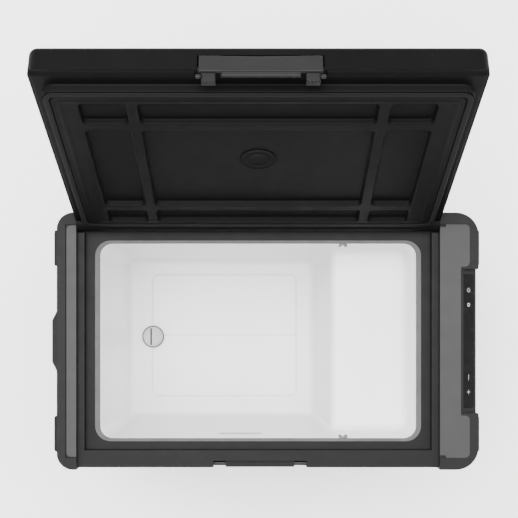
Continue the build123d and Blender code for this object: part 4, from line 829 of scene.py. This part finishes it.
def ring_sign(inner, outer):
    """A closed band between the radius curves inner and outer, given at even angles."""
    angle = np.linspace(0.0, 2 * np.pi, len(outer), endpoint=False)
    bands = []
    for radius, layer in ((inner, 0), (outer, 0), (outer, 1), (inner, 1)):
        level = np.full_like(angle, layer)
        bands.append(np.stack([radius * np.cos(angle), radius * np.sin(angle), level], axis=-1))
    return np.array(bands), grid_faces(4, len(outer), True, True)[:, ::-1]


def bar_sign(start, end, width):
    """A straight bar from start to end with square ends."""
    start, end = np.array(start), np.array(end)
    way = (end - start) / np.linalg.norm(end - start)
    side = np.array([-way[1], way[0]]) * width / 2
    flat = np.array([start - side, end - side, end + side, start + side])
    points = np.concatenate([np.c_[flat, np.zeros(4)], np.c_[flat, np.ones(4)]])
    sides = [[k, (k + 1) % 4, (k + 1) % 4 + 4, k + 4] for k in range(4)]
    return points, [[3, 2, 1, 0], [4, 5, 6, 7], *sides]


def signs():
    """A lamp, a gear, a minus and a plus on the four keys."""
    angle = np.linspace(0.0, 2 * np.pi, 96, endpoint=False)
    plain = np.ones(96)
    eighths = np.linspace(0.0, 2 * np.pi, 9)[:-1]
    ways = [np.array([math.cos(turn), math.sin(turn)]) for turn in eighths]
    rays = [bar_sign(0.0034 * way, 0.0043 * way, 0.0005) for way in ways]
    ink = finishes["sign_print"]
    ribbon("light_key", *joined(ring_sign(0.0021 * plain, 0.0027 * plain), *rays), ink, "key_light")
    teeth = 0.0026 + 0.0007 * s_curve(np.cos(8 * angle), 0.5)
    ribbon("settings_key", *joined(ring_sign(0.0017 * plain, teeth)), ink, "key_settings")
    ribbon("minus_key", *joined(bar_sign((0.0, -0.0045), (0.0, 0.0045), 0.0007)), ink, "key_minus")
    cross = [
        bar_sign((0.0, -0.0036), (0.0, 0.0036), 0.0007),
        bar_sign((-0.0036, 0.0), (-0.00035, 0.0), 0.0007),
        bar_sign((0.00035, 0.0), (0.0036, 0.0), 0.0007),
    ]
    ribbon("plus_key", *joined(*cross), ink, "key_plus")


finishes["port_plastic"] = grained(
    "port cap plastic", (0.0032, 0.0032, 0.0033), 0.55, 1500.0, 0.0001, IOR=1.12
)
# Dark grey for the plug's bar and lip ring: painted shade standing in for the shadowed bar line and
# gap.
finishes["lip_rubber"] = soft_rubber("plug lip and bar painted shade", (0.055, 0.055, 0.055), 0.6, 0.00004)
finishes["sign_print"] = smooth_moulding("sign print", (0.42, 0.42, 0.42), 0.5, 0.00002)

lid_panel()
lid_filling()
lid_seal()
port_cap()
latch_form()
drain_plug()
signs()
for name, width in (
    ("rim_frame", 0.0009), ("left_end_cap", 0.0012), ("lid_outer", 0.0007),
    ("opening_trim", 0.0005), ("left_trim_strip", 0.0008), ("right_trim_strip", 0.0008),
    ("left_bumpers", 0.0010), ("right_bumpers", 0.0010), ("panel_glass", 0.0003),
    ("rubber_feet", 0.0012), ("outer_case", 0.0009), ("drain_seat", 0.0004),
    ("divider_guides", 0.0004), ("dc_inlet", 0.0004), ("ac_inlet", 0.0004),
):
    softened(name, width)

studio()
